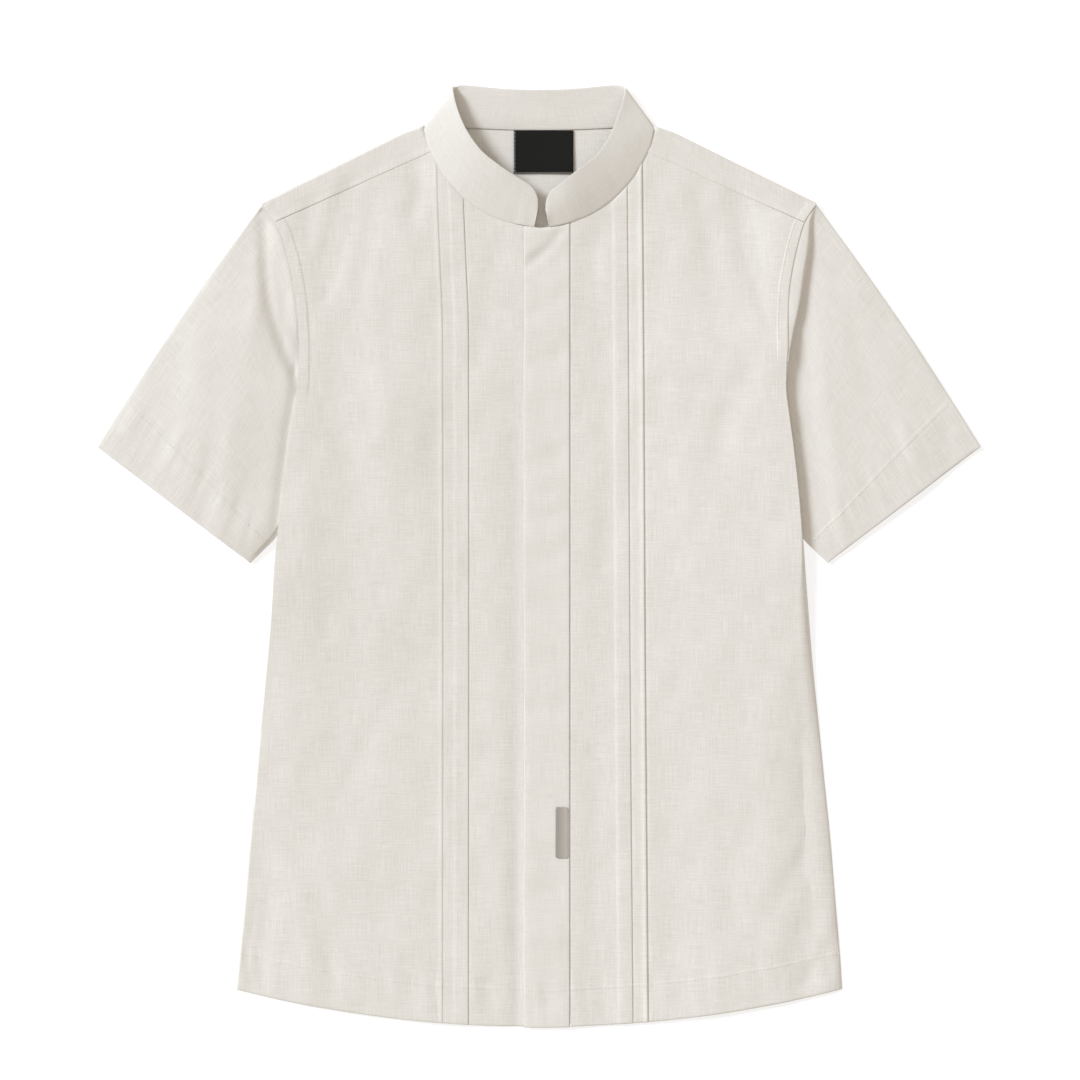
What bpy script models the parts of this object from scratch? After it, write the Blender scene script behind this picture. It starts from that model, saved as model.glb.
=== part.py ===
"""A short-sleeve linen shirt with a band collar and a hidden button fly, laid flat on its back.

Sizes are in millimetres and become metres where a point is placed. A point is given by its
distance from the centre line (x, plus is the wearer's left), its drop below the point where the
shoulder meets the neck, and its level above the table. The cloth pieces are drawn as their inner
faces, and their walls grow outwards from there.
"""

import math
from collections import namedtuple

import bmesh
import bpy
from mathutils import Vector

MM = 0.001

# Cloth
WALL = 1.2
PLACKET_WALL = 2.0
COLLAR_WALL = 1.8
LABEL_WALL = 1.0
SEAM_GAP = 0.3
ARMPIT_GAP = 1.4

# The cut, measured on the shirt as it lies
HEM_DROP = 748.2
HEM_CURVE = 4.92e-4
BACK_HEM_SHORTER = 1.5
COLLAR_TOP = 34.2
NECK_HALF_WIDTH = 95.2
NECK_HALF_HEIGHT = 98.0
NECK_CENTRE_DROP = -15.0
BACK_NECK_DROP = 4.4
BACK_NECK_RISE = 5.5
SHOULDER_START_X = 96.3
SHOULDER_START_DROP = -3.5
SHOULDER_SLOPE = 0.49
SHOULDER_TIP_DROP = 2.2
YOKE_FRONT_X = 88.6
YOKE_FRONT_DROP = 20.0
YOKE_FRONT_SLOPE = 0.456
YOKE_BACK_DROP = 100.0
PLACKET_EDGE_X = -12.5
PLACKET_SEAM_X = 25.7
UNDERLAP_X = 18.0
PLACKET_DROOP = 0.5

# How the layers lie, from the table up
FRONT_REST = WALL + SEAM_GAP
PLACKET_RAISE = WALL + SEAM_GAP
MIDDLE_SWELL = 0.2
SIDE_SWELL = 1.5
NECK_RISE = 1.3
PRESSED_SWELL = 0.35
MOST_SWELL = 3.6
LEAST_SIDE_SWELL = 1.3

# Where the body's sides lie on the sleeves, and how they curl down below the armpit
SLEEVE_LIFT = 3.5
LIFT_START = (212, 238)
LIFT_END = (345, 385)
CURL_START = (212, 234)
CURL_WIDTH = 5.0
SIDE_SEAM_GAP = 0.9

FOLD_STEPS = 3
SOLVE_STEPS = 12

FRAME_SHIFT = (HEM_DROP + PLACKET_DROOP - COLLAR_TOP) / 2

Edge = namedtuple("Edge", "drop half_width")
Fold = namedtuple("Fold", "x drop x_end drop_end width depth")
Relief = namedtuple("Relief", "across height")
CollarRow = namedtuple("CollarRow", "seam_x seam_drop turned edge_x edge_drop edge_level")
SleevePoint = namedtuple("SleevePoint", "x drop")

# Shoulder tip, armhole, armpit and side seam, from the top down
OUTER_EDGE = [
    Edge(65, 230.5),
    Edge(82, 217.0),
    Edge(112, 207.6),
    Edge(144, 202.0),
    Edge(186, 199.8),
    Edge(215, 203.0),
    Edge(344, 218.0),
    Edge(500, 232.6),
    Edge(716, 252.0),
    Edge(760, 256.0),
]

# Drops at which the pieces that meet along the armhole and the side seam have a point
SHOULDER_DROPS = [65, 72]
ARMHOLE_DROPS = [88, 100, 115, 130, 147, 165, 183, 200, 215]
SIDE_DROPS = [224, 234, 244, 258, 280, 310, 342, 364, 386, 430, 480, 530, 580, 630, 675]

# Largest folds of the fronts: a line each, how wide, and how high (minus is a trough)
FRONT_FOLDS = [
    Fold(-160, 55, -181, 128, 13, -1.1),
    Fold(-99, 33, -104, 68, 9, -0.9),
    Fold(-165, 170, -168, 330, 26, -0.9),
    Fold(-107, 150, -112, 360, 28, 0.9),
    Fold(-196, 330, -214, 560, 20, 0.8),
    Fold(-40, 230, -42, 700, 20, 0.8),
    Fold(171, 70, 192, 150, 12, -1.2),
    Fold(120, 110, 128, 330, 30, 0.9),
    Fold(48, 100, 42, 215, 12, -0.8),
    Fold(150, 330, 158, 520, 28, 0.7),
    Fold(228, 520, 219, 700, 13, -1.1),
    Fold(-213, 92, -203, 205, 11, 0.9),
    Fold(213, 92, 203, 205, 11, 1.8),
    Fold(196, 470, 190, 690, 22, 0.8),
]
SLEEVE_FOLDS = {
    "right": [
        Fold(-225, 92, -213, 175, 10, -1.6),
        Fold(-300, 205, -330, 292, 12, -1.0),
        Fold(-283, 215, -306, 300, 12, 0.8),
        Fold(-262, 140, -292, 230, 20, 0.8),
    ],
    "left": [
        Fold(224, 90, 213, 205, 11, -2.4),
        Fold(262, 150, 300, 270, 22, 1.0),
        Fold(330, 235, 345, 275, 14, -0.8),
    ],
}

# Height of the tucks above the plain front, outwards from the centre
TUCKS = {
    "right": [
        Relief(58.4, 0.0),
        Relief(59.2, 0.9),
        Relief(69.2, 0.8),
        Relief(71.2, 0.1),
        Relief(79.8, 0.1),
        Relief(80.8, 1.0),
        Relief(84.1, 0.0),
    ],
    "left": [
        Relief(62.4, 0.0),
        Relief(64.4, 0.8),
        Relief(75.3, 0.9),
        Relief(76.1, 0.1),
        Relief(81.0, 0.6),
        Relief(87.2, 1.1),
        Relief(88.2, 0.0),
        Relief(88.6, 0.0),
    ],
}
TUCK_MAX = 1.2
TUCK_LEAN = 4.5

# Columns of the placket, of each front between the centre and its tucks, and out to the sides
PLACKET_COLUMNS = [PLACKET_EDGE_X, -8.0, 2.0, 12.0, 21.0, PLACKET_SEAM_X]
PLACKET_ROWS = 27
PLAIN_COLUMNS = {
    "right": [-UNDERLAP_X, -5, 8, 12, 18, 28, 40, 50],
    "left": [PLACKET_SEAM_X + SEAM_GAP, 33, 42, 52],
}
SIDE_SHARES = [0.14, 0.28, 0.42, 0.55, 0.67, 0.78, 0.88, 1.0]
BACK_SHARES = [0.0, 0.35, 0.65, 0.79, 0.86, 0.92, 0.97, 1.0]

# Outer face of the band collar from its front end, over the side fold, to the centre back.
# turned is 0 where the band lies on the front and 1 where it lies on the table.
COLLAR_ROWS = [
    CollarRow(6.3, 83.4, 0.0, 2.9, 64.5, 10.4),
    CollarRow(8.2, 83.3, 0.0, 3.4, 58.0, 11.6),
    CollarRow(11.4, 82.8, 0.0, 5.6, 52.0, 12.8),
    CollarRow(16.0, 82.0, 0.0, 9.5, 47.8, 13.8),
    CollarRow(30.0, 78.4, 0.0, 20.0, 40.6, 15.8),
    CollarRow(46.5, 71.0, 0.0, 34.0, 31.0, 17.4),
    CollarRow(63.6, 58.4, 0.0, 48.0, 19.5, 17.6),
    CollarRow(79.0, 40.8, 0.0, 60.0, 2.4, 16.4),
    CollarRow(90.6, 20.0, 0.0, 68.3, -17.0, 13.8),
    CollarRow(95.0, 5.0, 0.0, 71.3, -28.0, 11.0),
    CollarRow(95.9, 0.8, 0.35, 71.6, -32.2, 7.6),
    CollarRow(94.6, -0.6, 0.8, 69.4, -33.4, 4.4),
    CollarRow(88.0, -0.9, 1.0, 64.0, -34.2, 3.0),
    CollarRow(74.0, 0.7, 1.0, 52.0, -33.4, 3.0),
    CollarRow(52.0, 2.4, 1.0, 36.0, -31.6, 4.2),
    CollarRow(26.0, 3.7, 1.0, 18.0, -30.2, 5.6),
    CollarRow(0.0, 4.0, 1.0, 0.0, -29.8, 6.2),
]
COLLAR_ACROSS = [0.0, 0.25, 0.5, 0.75, 1.0]
COLLAR_BULGE = 1.2
COLLAR_BACK_LEVEL = 0.1
COLLAR_OPENING_X = 1.4

# Lines of the yoke: across its neck, along its shoulder, and from its back seam to its front one
YOKE_NECK_SHARES = [0.0, 0.25, 0.5, 0.72, 0.88]
YOKE_SHOULDER_SHARES = [0.0, 0.12, 0.25, 0.4, 0.55, 0.7, 0.82, 0.92, 1.0]
YOKE_BACK_SHARES = [0.0, 0.37, 0.64, 0.87, 1.0]
YOKE_FRONT_SHARES = [0.0, 0.35, 1.0]
YOKE_FOLD_WIDTH = 8.0

# Sleeve: hem corners, and the underarm edge, which runs in behind the body and out again
SLEEVE_HEM_OUTER = SleevePoint(367.3, 266.0)
SLEEVE_HEM_INNER = SleevePoint(239.9, 362.7)
SLEEVE_BOW = 3.0
SLEEVE_FOLD_GAP = 0.7
SLEEVE_SWELL = 2.4
MOST_SLEEVE_SWELL = 3.2
SLEEVE_SEAM_REACH = 0.11
SLEEVE_STATIONS = [0.0, 0.01, 0.035, 0.075, 0.12, 0.2, 0.3, 0.42, 0.54, 0.66, 0.78, 0.89, 1.0]
UNDERARM_EDGE = [
    SleevePoint(204.7, 215.0),
    SleevePoint(207.2, 239.0),
    SleevePoint(205.0, 262.0),
    SleevePoint(204.0, 285.0),
    SleevePoint(207.0, 308.0),
    SleevePoint(212.5, 328.0),
    SleevePoint(220.0, 342.5),
    SleevePoint(229.5, 352.5),
    SLEEVE_HEM_INNER,
]

# Label inside the neck, and the metal tag on the placket
LABEL = {"left": -21.0, "right": 28.6, "top": 5.0, "bottom": 38.8, "curl": 0.5}
LABEL_ROWS = 4
LABEL_COLUMNS = 6
TAG = {"x": 18.7, "drop": 586.4, "width": 10.0, "length": 42.4, "thick": 1.4, "round": 0.5}

LINEN = (0.76, 0.72, 0.66, 1.0)
LABEL_BLACK = (0.02, 0.02, 0.018, 1.0)
STEEL = (0.42, 0.40, 0.37, 1.0)


def smooth_step(start, end, at):
    """0 before start, 1 after end, and a soft ramp between."""
    share = min(1.0, max(0.0, (at - start) / (end - start)))
    return share * share * (3.0 - 2.0 * share)


def mix(first, second, share):
    return first + (second - first) * share


def read_curve(keys, values, at):
    """The value at one place on a smooth curve through the rows; its ends run on straight."""
    last = len(keys) - 1
    row = 0
    while row < last - 1 and at > keys[row + 1]:
        row += 1

    def slope(index):
        low, high = max(0, index - 1), min(last, index + 1)
        return (values[high] - values[low]) / (keys[high] - keys[low])

    span = keys[row + 1] - keys[row]
    share = min(1.0, max(0.0, (at - keys[row]) / span))
    square, cube = share**2, share**3
    return (
        (2 * cube - 3 * square + 1) * values[row]
        + (cube - 2 * square + share) * span * slope(row)
        + (3 * square - 2 * cube) * values[row + 1]
        + (cube - square) * span * slope(row + 1)
    )


def place(x, drop, level):
    """The point in the shirt's frame, in metres."""
    return Vector((x, FRAME_SHIFT - drop, level)) * MM


def outer_half(drop):
    """Half the width of the body's outline: shoulder tip, armhole, then side seam."""
    return read_curve([e.drop for e in OUTER_EDGE], [e.half_width for e in OUTER_EDGE], drop)


def hem_drop(x):
    return HEM_DROP - HEM_CURVE * x * x


def shoulder_drop(x):
    straight = SHOULDER_START_DROP + SHOULDER_SLOPE * (abs(x) - SHOULDER_START_X)
    return straight + SHOULDER_TIP_DROP * smooth_step(205, 230, abs(x))


def yoke_front_drop(x):
    return YOKE_FRONT_DROP + YOKE_FRONT_SLOPE * (abs(x) - YOKE_FRONT_X)


def neck_drop(x):
    """The front neckline, where the collar is sewn on."""
    inside = max(0.0, 1.0 - (x / NECK_HALF_WIDTH) ** 2)
    return NECK_CENTRE_DROP + NECK_HALF_HEIGHT * math.sqrt(inside)


def back_neck_drop(x):
    return BACK_NECK_DROP - BACK_NECK_RISE * (x / NECK_HALF_WIDTH) ** 2


def fold_level(folds, x, drop):
    """Height of the folds at one place: each is a soft ridge or trough along a line."""
    total = 0.0
    for fold in folds:
        run_x, run_drop = fold.x_end - fold.x, fold.drop_end - fold.drop
        length = math.hypot(run_x, run_drop)
        along = ((x - fold.x) * run_x + (drop - fold.drop) * run_drop) / length
        aside = ((x - fold.x) * run_drop - (drop - fold.drop) * run_x) / length
        past = max(0.0, -along, along - length)
        total += fold.depth * math.exp(-(aside**2 + past**2) / fold.width**2)
    return total


def side_lift(x, drop):
    """The body lies over the sleeve's underarm edge there, so it is lifted by the sleeve's layers."""
    along = smooth_step(*LIFT_START, drop) * (1 - smooth_step(*LIFT_END, drop))
    reach = smooth_step(-46, -16, abs(x) - outer_half(drop))
    return SLEEVE_LIFT * along * reach


def neck_rise(x, drop):
    """The fronts climb a little where they meet the collar."""
    away = math.hypot(x / NECK_HALF_WIDTH, (drop - NECK_CENTRE_DROP) / NECK_HALF_HEIGHT) - 1
    return NECK_RISE * (1 - smooth_step(0, 0.28, away))


def front_level(x, drop):
    """Inner face of the fronts above the table."""
    swell = mix(MIDDLE_SWELL, SIDE_SWELL, smooth_step(15, 130, abs(x)))
    free = swell + fold_level(FRONT_FOLDS, x, drop) + neck_rise(x, drop)
    pressed = smooth_step(-26, -6, x - PLACKET_EDGE_X) * (1 - smooth_step(0, 29, x - PLACKET_SEAM_X))
    free = mix(free, PRESSED_SWELL + neck_rise(x, drop), pressed)
    least = LEAST_SIDE_SWELL * smooth_step(-30, -10, abs(x) - outer_half(drop))
    return FRONT_REST + min(MOST_SWELL, max(least, free)) + side_lift(x, drop)


def left_front_level(x, drop):
    """The left front also rides over the underlap beside the placket."""
    return front_level(x, drop) + PLACKET_RAISE * (1 - smooth_step(28, 62, x))


def placket_level(x, drop):
    return front_level(x, drop) + PLACKET_RAISE


def cloth_object(name, rows, wall, material, outwards=True, ring=False, extra=None):
    """One cloth piece: rows of points on a face, thickened on its outer side.

    A None leaves a hole in the grid. extra holds, for each point, how much thicker the wall is.
    """
    mesh = bpy.data.meshes.new(name)
    shape = bmesh.new()
    corners = [[None if p is None else shape.verts.new(p) for p in row] for row in rows]
    count = len(rows[0])
    for upper, lower in zip(corners, corners[1:]):
        for column in range(count if ring else count - 1):
            beside = (column + 1) % count
            face = [upper[column], upper[beside], lower[beside], lower[column]]
            if None in face:
                continue
            shape.faces.new(face if outwards else face[::-1])
    shape.to_mesh(mesh)
    shape.free()
    obj = bpy.data.objects.new(name, mesh)
    shirt.objects.link(obj)
    mesh.materials.append(material)
    mesh.shade_smooth()
    solid = obj.modifiers.new("wall", "SOLIDIFY")
    solid.offset = 1.0
    solid.thickness = wall * MM
    if extra:
        solid.thickness = (wall + TUCK_MAX) * MM
        group = obj.vertex_groups.new(name="thickness")
        for index, height in enumerate(height for row in extra for height in row):
            group.add([index], (wall + height) / (wall + TUCK_MAX), "REPLACE")
        solid.vertex_group = group.name


def yoke_end():
    """The drop at which the front yoke seam meets the armhole."""
    drop = ARMHOLE_DROPS[0]
    for _ in range(SOLVE_STEPS):
        drop = yoke_front_drop(outer_half(drop))
    return drop


def hem_corner():
    return hem_drop(outer_half(SIDE_DROPS[-1]))


def shares_of(drops):
    return [(drop - drops[0]) / (drops[-1] - drops[0]) for drop in drops]


def side_inset(drop, step):
    """How far inside the outline each column of the body's edge is, and its share of the level.

    Along the armhole the cloth stays flat. Below it, it curls down to the side seam.
    """
    angle = math.pi / 2 * (1 - step / FOLD_STEPS)
    curl = smooth_step(*CURL_START, drop)
    flat = mix(WALL + CURL_WIDTH, SEAM_GAP / 2, step / FOLD_STEPS)
    curled = WALL + CURL_WIDTH * (1 - math.cos(angle))
    return mix(flat, curled, curl), mix(1.0, math.sin(angle), curl)


def make_front(side, material):
    """A front from the centre to the armhole and the side seam, where it curls down to the back."""
    sign = -1 if side == "right" else 1
    level = front_level if side == "right" else left_front_level
    tucks = TUCKS[side]
    shares = shares_of([yoke_end(), *ARMHOLE_DROPS, *SIDE_DROPS, hem_corner()])

    def lean(drop):
        """The right front's tucks start a little further out and straighten as they go down."""
        return TUCK_LEAN * (1 - smooth_step(35, 170, drop)) if side == "right" else 0.0

    def panel_edge(drop):
        return outer_half(drop) - WALL - CURL_WIDTH

    def tuck_end(drop):
        return tucks[-1].across + lean(drop)

    paths = [(lambda drop, x=x: x, 0.0) for x in PLAIN_COLUMNS[side]]
    paths += [(lambda drop, x=t.across: x + lean(drop), t.height) for t in tucks]
    paths += [
        (lambda drop, share=share: mix(tuck_end(drop), panel_edge(drop), share), 0.0)
        for share in SIDE_SHARES
    ]
    paths += [
        (lambda drop, step=step: outer_half(drop) - side_inset(drop, step)[0], 0.0)
        for step in range(1, FOLD_STEPS + 1)
    ]
    columns = []
    for number, (across_at, height) in enumerate(paths):
        edge_step = max(0, number - (len(paths) - 1 - FOLD_STEPS))
        top = 40.0
        for _ in range(SOLVE_STEPS):
            x = across_at(top)
            top = (neck_drop(x) if x < YOKE_FRONT_X else yoke_front_drop(x)) + SEAM_GAP / 2
        bottom = hem_drop(across_at(hem_corner()))
        column = []
        for share in shares:
            drop = mix(top, bottom, share)
            x = sign * across_at(drop)
            lift = side_lift(x, drop)
            kept = side_inset(drop, edge_step)[1]
            fold = height if share > 0 else 0.0
            column.append((place(x, drop, lift + (level(x, drop) - lift) * kept), fold))
        columns.append(column)
    rows = [list(row) for row in zip(*columns)]
    points = [[point for point, _ in row] for row in rows]
    extra = [[height for _, height in row] for row in rows]
    cloth_object(f"front_{side}", points, WALL, material, side == "right", extra=extra)


def make_back(material):
    """The back below its yoke. It lies flat, apart from where it passes over the sleeves."""
    shares = shares_of([YOKE_BACK_DROP, *ARMHOLE_DROPS[2:], *SIDE_DROPS, hem_corner()])
    rows = []
    for share in shares:
        row = []
        for part in [-s for s in BACK_SHARES[:0:-1]] + BACK_SHARES:
            bottom = hem_drop(part * outer_half(hem_corner())) - BACK_HEM_SHORTER
            drop = mix(YOKE_BACK_DROP + SEAM_GAP / 2, bottom, share)
            inset = mix(SEAM_GAP / 2, WALL + SIDE_SEAM_GAP, smooth_step(*CURL_START, drop))
            x = part * (outer_half(drop) - inset)
            row.append(place(x, drop, WALL + side_lift(x, drop)))
        rows.append(row)
    cloth_object("back", rows, WALL, material)


def yoke_back_neck_column(sign, neck_share):
    """One line of the yoke's back below the neck, from its seam with the back up to the collar."""
    x = neck_share * SHOULDER_START_X
    last = back_neck_drop(x) + SEAM_GAP / 2
    drops = [mix(YOKE_BACK_DROP - SEAM_GAP / 2, last, share) for share in YOKE_BACK_SHARES]
    return [place(sign * x, drop, WALL) for drop in drops] + [None] * (FOLD_STEPS + 2)


def yoke_shoulder_column(sign, part):
    """One line of the yoke, up the back, over the shoulder fold and down to the front seam.

    part runs from 0 at the neck to 1 at the armhole.
    """
    tip_drop = SHOULDER_DROPS[0]
    fold_x = mix(SHOULDER_START_X, outer_half(tip_drop), part)
    top_level = front_level(sign * fold_x, shoulder_drop(fold_x) + YOKE_FOLD_WIDTH)
    radius = (top_level - WALL) / 2
    inset = WALL + radius
    neck_start = SHOULDER_START_DROP + inset

    def across(neck_side_drop, arm_drop, under_collar=0.0):
        neck_x = mix(SHOULDER_START_X + SEAM_GAP, YOKE_FRONT_X, under_collar)
        x = mix(neck_x, outer_half(arm_drop) - SEAM_GAP / 2, part)
        return x, mix(neck_side_drop, arm_drop, part)

    column = []
    back = YOKE_BACK_DROP - SEAM_GAP / 2
    for share in YOKE_BACK_SHARES:
        x, drop = across(mix(back, neck_start, share), mix(back, tip_drop + inset, share))
        column.append(place(sign * x, drop, WALL))
    for step in range(1, FOLD_STEPS):
        angle = math.pi * step / FOLD_STEPS
        reach = radius * math.sin(angle)
        x, drop = across(neck_start - reach, tip_drop + inset - reach)
        column.append(place(sign * x, drop, WALL + radius * (1 - math.cos(angle))))
    for share in YOKE_FRONT_SHARES:
        x, drop = across(
            mix(neck_start, YOKE_FRONT_DROP - SEAM_GAP / 2, share),
            mix(tip_drop + inset, yoke_end() - SEAM_GAP / 2, share),
            under_collar=share,
        )
        column.append(place(sign * x, drop, mix(top_level, front_level(sign * x, drop), share)))
    return column


def make_yoke(material):
    """The yoke: across the back, over both shoulder folds, and down to the front seams."""
    columns = [yoke_shoulder_column(-1, part) for part in YOKE_SHOULDER_SHARES[::-1]]
    columns += [yoke_back_neck_column(-1, share) for share in YOKE_NECK_SHARES[::-1]]
    columns += [yoke_back_neck_column(1, share) for share in YOKE_NECK_SHARES[1:]]
    columns += [yoke_shoulder_column(1, part) for part in YOKE_SHOULDER_SHARES]
    rows = [list(row) for row in zip(*columns)]
    cloth_object("yoke", rows, WALL, material, outwards=False)


def make_placket(material):
    """The fly: a double strip sewn to the left front, with its fold over the right front."""
    rows = []
    for number in range(PLACKET_ROWS):
        share = number / (PLACKET_ROWS - 1)
        row = []
        for x in PLACKET_COLUMNS:
            drop = mix(neck_drop(x) + SEAM_GAP, hem_drop(x) + PLACKET_DROOP, share)
            row.append(place(x, drop, placket_level(x, drop)))
        rows.append(row)
    cloth_object("placket", rows, PLACKET_WALL, material, outwards=False)


def collar_stations():
    """Points (seam, edge) of the collar's outer face from its right end round to its left one."""
    fields = [list(values) for values in zip(*COLLAR_ROWS)]
    keys = list(range(len(COLLAR_ROWS)))
    half = []
    for number in range(2 * len(COLLAR_ROWS) - 1):
        half.append([read_curve(keys, values, number / 2) for values in fields])
    stations = []
    for sign, rows in ((-1, half), (1, half[-2::-1])):
        level = front_level if sign < 0 else left_front_level
        for seam_x, seam_drop, turned, edge_x, edge_drop, edge_level in rows:
            shift = COLLAR_OPENING_X * (1 - smooth_step(0, 40, seam_x))
            x = sign * seam_x + shift
            on_placket = smooth_step(-10, 0, x - PLACKET_EDGE_X) * smooth_step(-8, 0, PLACKET_SEAM_X - x)
            fly_top = placket_level(x, seam_drop) + PLACKET_WALL
            below = mix(level(x, seam_drop) + WALL, fly_top, on_placket)
            seam_level = mix(below + SEAM_GAP + COLLAR_WALL, COLLAR_BACK_LEVEL, turned)
            stations.append(((x, seam_drop, seam_level), (sign * edge_x + shift, edge_drop, edge_level)))
    return stations


def make_collar(material):
    """The band collar, folded at both sides: its back shows the inside and its front the outside.

    Its points are those of the outer face, so its wall grows inwards.
    """
    rows = []
    for seam, edge in collar_stations():
        row = []
        for share in COLLAR_ACROSS:
            x, drop, level = (mix(a, b, share) for a, b in zip(seam, edge))
            front = smooth_step(0, 30, drop + 20)
            row.append(place(x, drop, level + COLLAR_BULGE * front * math.sin(math.pi * share)))
        rows.append(row)
    cloth_object("collar", rows, COLLAR_WALL, material, outwards=False)


def armhole_point(share):
    drop = mix(SHOULDER_DROPS[0], ARMHOLE_DROPS[-1], share)
    return outer_half(drop) + SEAM_GAP + ARMPIT_GAP * smooth_step(0.7, 1.0, share), drop


def sleeve_outer(station):
    """The sleeve's upper fold, from the shoulder tip to its hem, bowed out a little."""
    bow = SLEEVE_BOW * math.sin(math.pi * station)
    start_x, start_drop = armhole_point(0)
    end = SLEEVE_HEM_OUTER
    length = math.dist((start_x, start_drop), end)
    x = mix(start_x, end.x, station) + bow * (end.drop - start_drop) / length
    return x, mix(start_drop, end.drop, station) - bow * (end.x - start_x) / length


def sleeve_inner(station):
    keys = shares_of(list(range(len(UNDERARM_EDGE))))
    return [read_curve(keys, list(values), station) for values in zip(*UNDERARM_EDGE)]


def sleeve_plan(station, share):
    """A point of the sleeve as it lies: a patch between the armhole, the hem and both folds."""
    hem = [mix(a, b, share) for a, b in zip(SLEEVE_HEM_OUTER, SLEEVE_HEM_INNER)]
    found = []
    for axis in range(2):
        ruled = mix(armhole_point(share)[axis], hem[axis], station)
        folds = mix(sleeve_outer(station)[axis], sleeve_inner(station)[axis], share)
        first = mix(armhole_point(0)[axis], SLEEVE_HEM_OUTER[axis], station)
        last = mix(armhole_point(1)[axis], SLEEVE_HEM_INNER[axis], station)
        found.append(ruled + folds - mix(first, last, share))
    return found


def sleeve_levels(side, station, share):
    """Inner faces of the lower and the upper layer of a sleeve."""
    sign = -1 if side == "right" else 1
    level = front_level if side == "right" else left_front_level
    x, drop = sleeve_plan(station, share)
    arm_x, arm_drop = armhole_point(share)
    seam = 1 - smooth_step(SLEEVE_STATIONS[1], SLEEVE_SEAM_REACH, station)
    uncovered = smooth_step(4, 26, x - outer_half(drop))
    swell = SLEEVE_SWELL * max(0.0, math.sin(math.pi * share)) ** 0.6 * smooth_step(0.02, 0.3, station)
    free = min(MOST_SLEEVE_SWELL, max(0.0, swell + fold_level(SLEEVE_FOLDS[side], sign * x, drop)))
    flat = WALL + SLEEVE_FOLD_GAP + free * uncovered
    return WALL, mix(flat, level(sign * arm_x, arm_drop), seam)


def sleeve_ring(side, station):
    """Points (share, level) round one section: upper layer, underarm fold, lower layer, top fold."""
    width = math.dist(sleeve_plan(station, 0), sleeve_plan(station, 1))

    def edge_inset(share):
        low, high = sleeve_levels(side, station, share)
        return (WALL + (high - low) / 2) / width

    def fold(first, last, direction):
        radius = abs(last[1] - first[1]) / 2
        points = []
        for step in range(1, FOLD_STEPS):
            angle = math.pi * step / FOLD_STEPS
            reach = direction * radius * math.sin(angle) / width
            points.append((first[0] + reach, mix(first[1], last[1], (1 - math.cos(angle)) / 2)))
        return points

    start, end = edge_inset(0), 1 - edge_inset(1)
    drops = [*SHOULDER_DROPS, yoke_end(), *ARMHOLE_DROPS]
    across = [min(max(share, start), end) for share in shares_of(drops)]
    levels = [sleeve_levels(side, station, share) for share in across]
    upper = [(share, high) for share, (low, high) in zip(across, levels)]
    lower = [(share, low) for share, (low, high) in zip(across, levels)]
    return upper + fold(upper[-1], lower[-1], 1) + lower[::-1] + fold(lower[0], upper[0], -1)


def make_sleeve(side, material):
    """A sleeve: a flattened tube from the armhole to its hem."""
    sign = -1 if side == "right" else 1
    rings = []
    for station in SLEEVE_STATIONS:
        rings.append([])
        for share, level in sleeve_ring(side, station):
            x, drop = sleeve_plan(station, share)
            rings[-1].append(place(sign * x, drop, level))
    cloth_object(f"sleeve_{side}", rings, WALL, material, side == "left", ring=True)


def make_label(material):
    """The woven label, sewn inside the back of the neck and lying on the yoke."""
    rows = []
    for number in range(LABEL_ROWS):
        down = number / (LABEL_ROWS - 1)
        row = []
        for column in range(LABEL_COLUMNS):
            across = column / (LABEL_COLUMNS - 1)
            x, drop = mix(LABEL["left"], LABEL["right"], across), mix(LABEL["top"], LABEL["bottom"], down)
            row.append(place(x, drop, WALL + SEAM_GAP + LABEL["curl"] * across * down))
        rows.append(row)
    cloth_object("neck_label", rows, LABEL_WALL, material, outwards=False)


def make_tag(material):
    """A plain metal bar fixed near the placket's seam."""
    level = placket_level(TAG["x"], TAG["drop"]) + PLACKET_WALL + SEAM_GAP + TAG["thick"] / 2
    bpy.ops.mesh.primitive_cube_add(size=1, location=place(TAG["x"], TAG["drop"], level))
    tag = bpy.context.object
    tag.name = "placket_tag"
    tag.scale = Vector((TAG["width"], TAG["length"], TAG["thick"])) * MM
    bpy.ops.object.transform_apply(location=False, rotation=False, scale=True)
    bevel = tag.modifiers.new("rounded", "BEVEL")
    bevel.width = TAG["round"] * MM
    bevel.segments = 2
    tag.data.materials.append(material)
    for home in list(tag.users_collection):
        home.objects.unlink(tag)
    shirt.objects.link(tag)


def make_material(name, colour, roughness, metallic=0.0):
    material = bpy.data.materials.new(name)
    material.use_nodes = True
    shader = material.node_tree.nodes["Principled BSDF"]
    shader.inputs["Base Color"].default_value = colour
    shader.inputs["Roughness"].default_value = roughness
    shader.inputs["Metallic"].default_value = metallic
    material.diffuse_color = colour
    return material


for leftover in list(bpy.data.objects):
    bpy.data.objects.remove(leftover)
shirt = bpy.data.collections.new("short_sleeve_shirt")
bpy.context.scene.collection.children.link(shirt)

linen = make_material("linen", LINEN, 0.9)
make_back(linen)
make_yoke(linen)
for wearer_side in ("right", "left"):
    make_front(wearer_side, linen)
    make_sleeve(wearer_side, linen)
make_placket(linen)
make_collar(linen)
make_label(make_material("label_weave", LABEL_BLACK, 0.8))
make_tag(make_material("tag_metal", STEEL, 0.35, 1.0))
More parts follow.
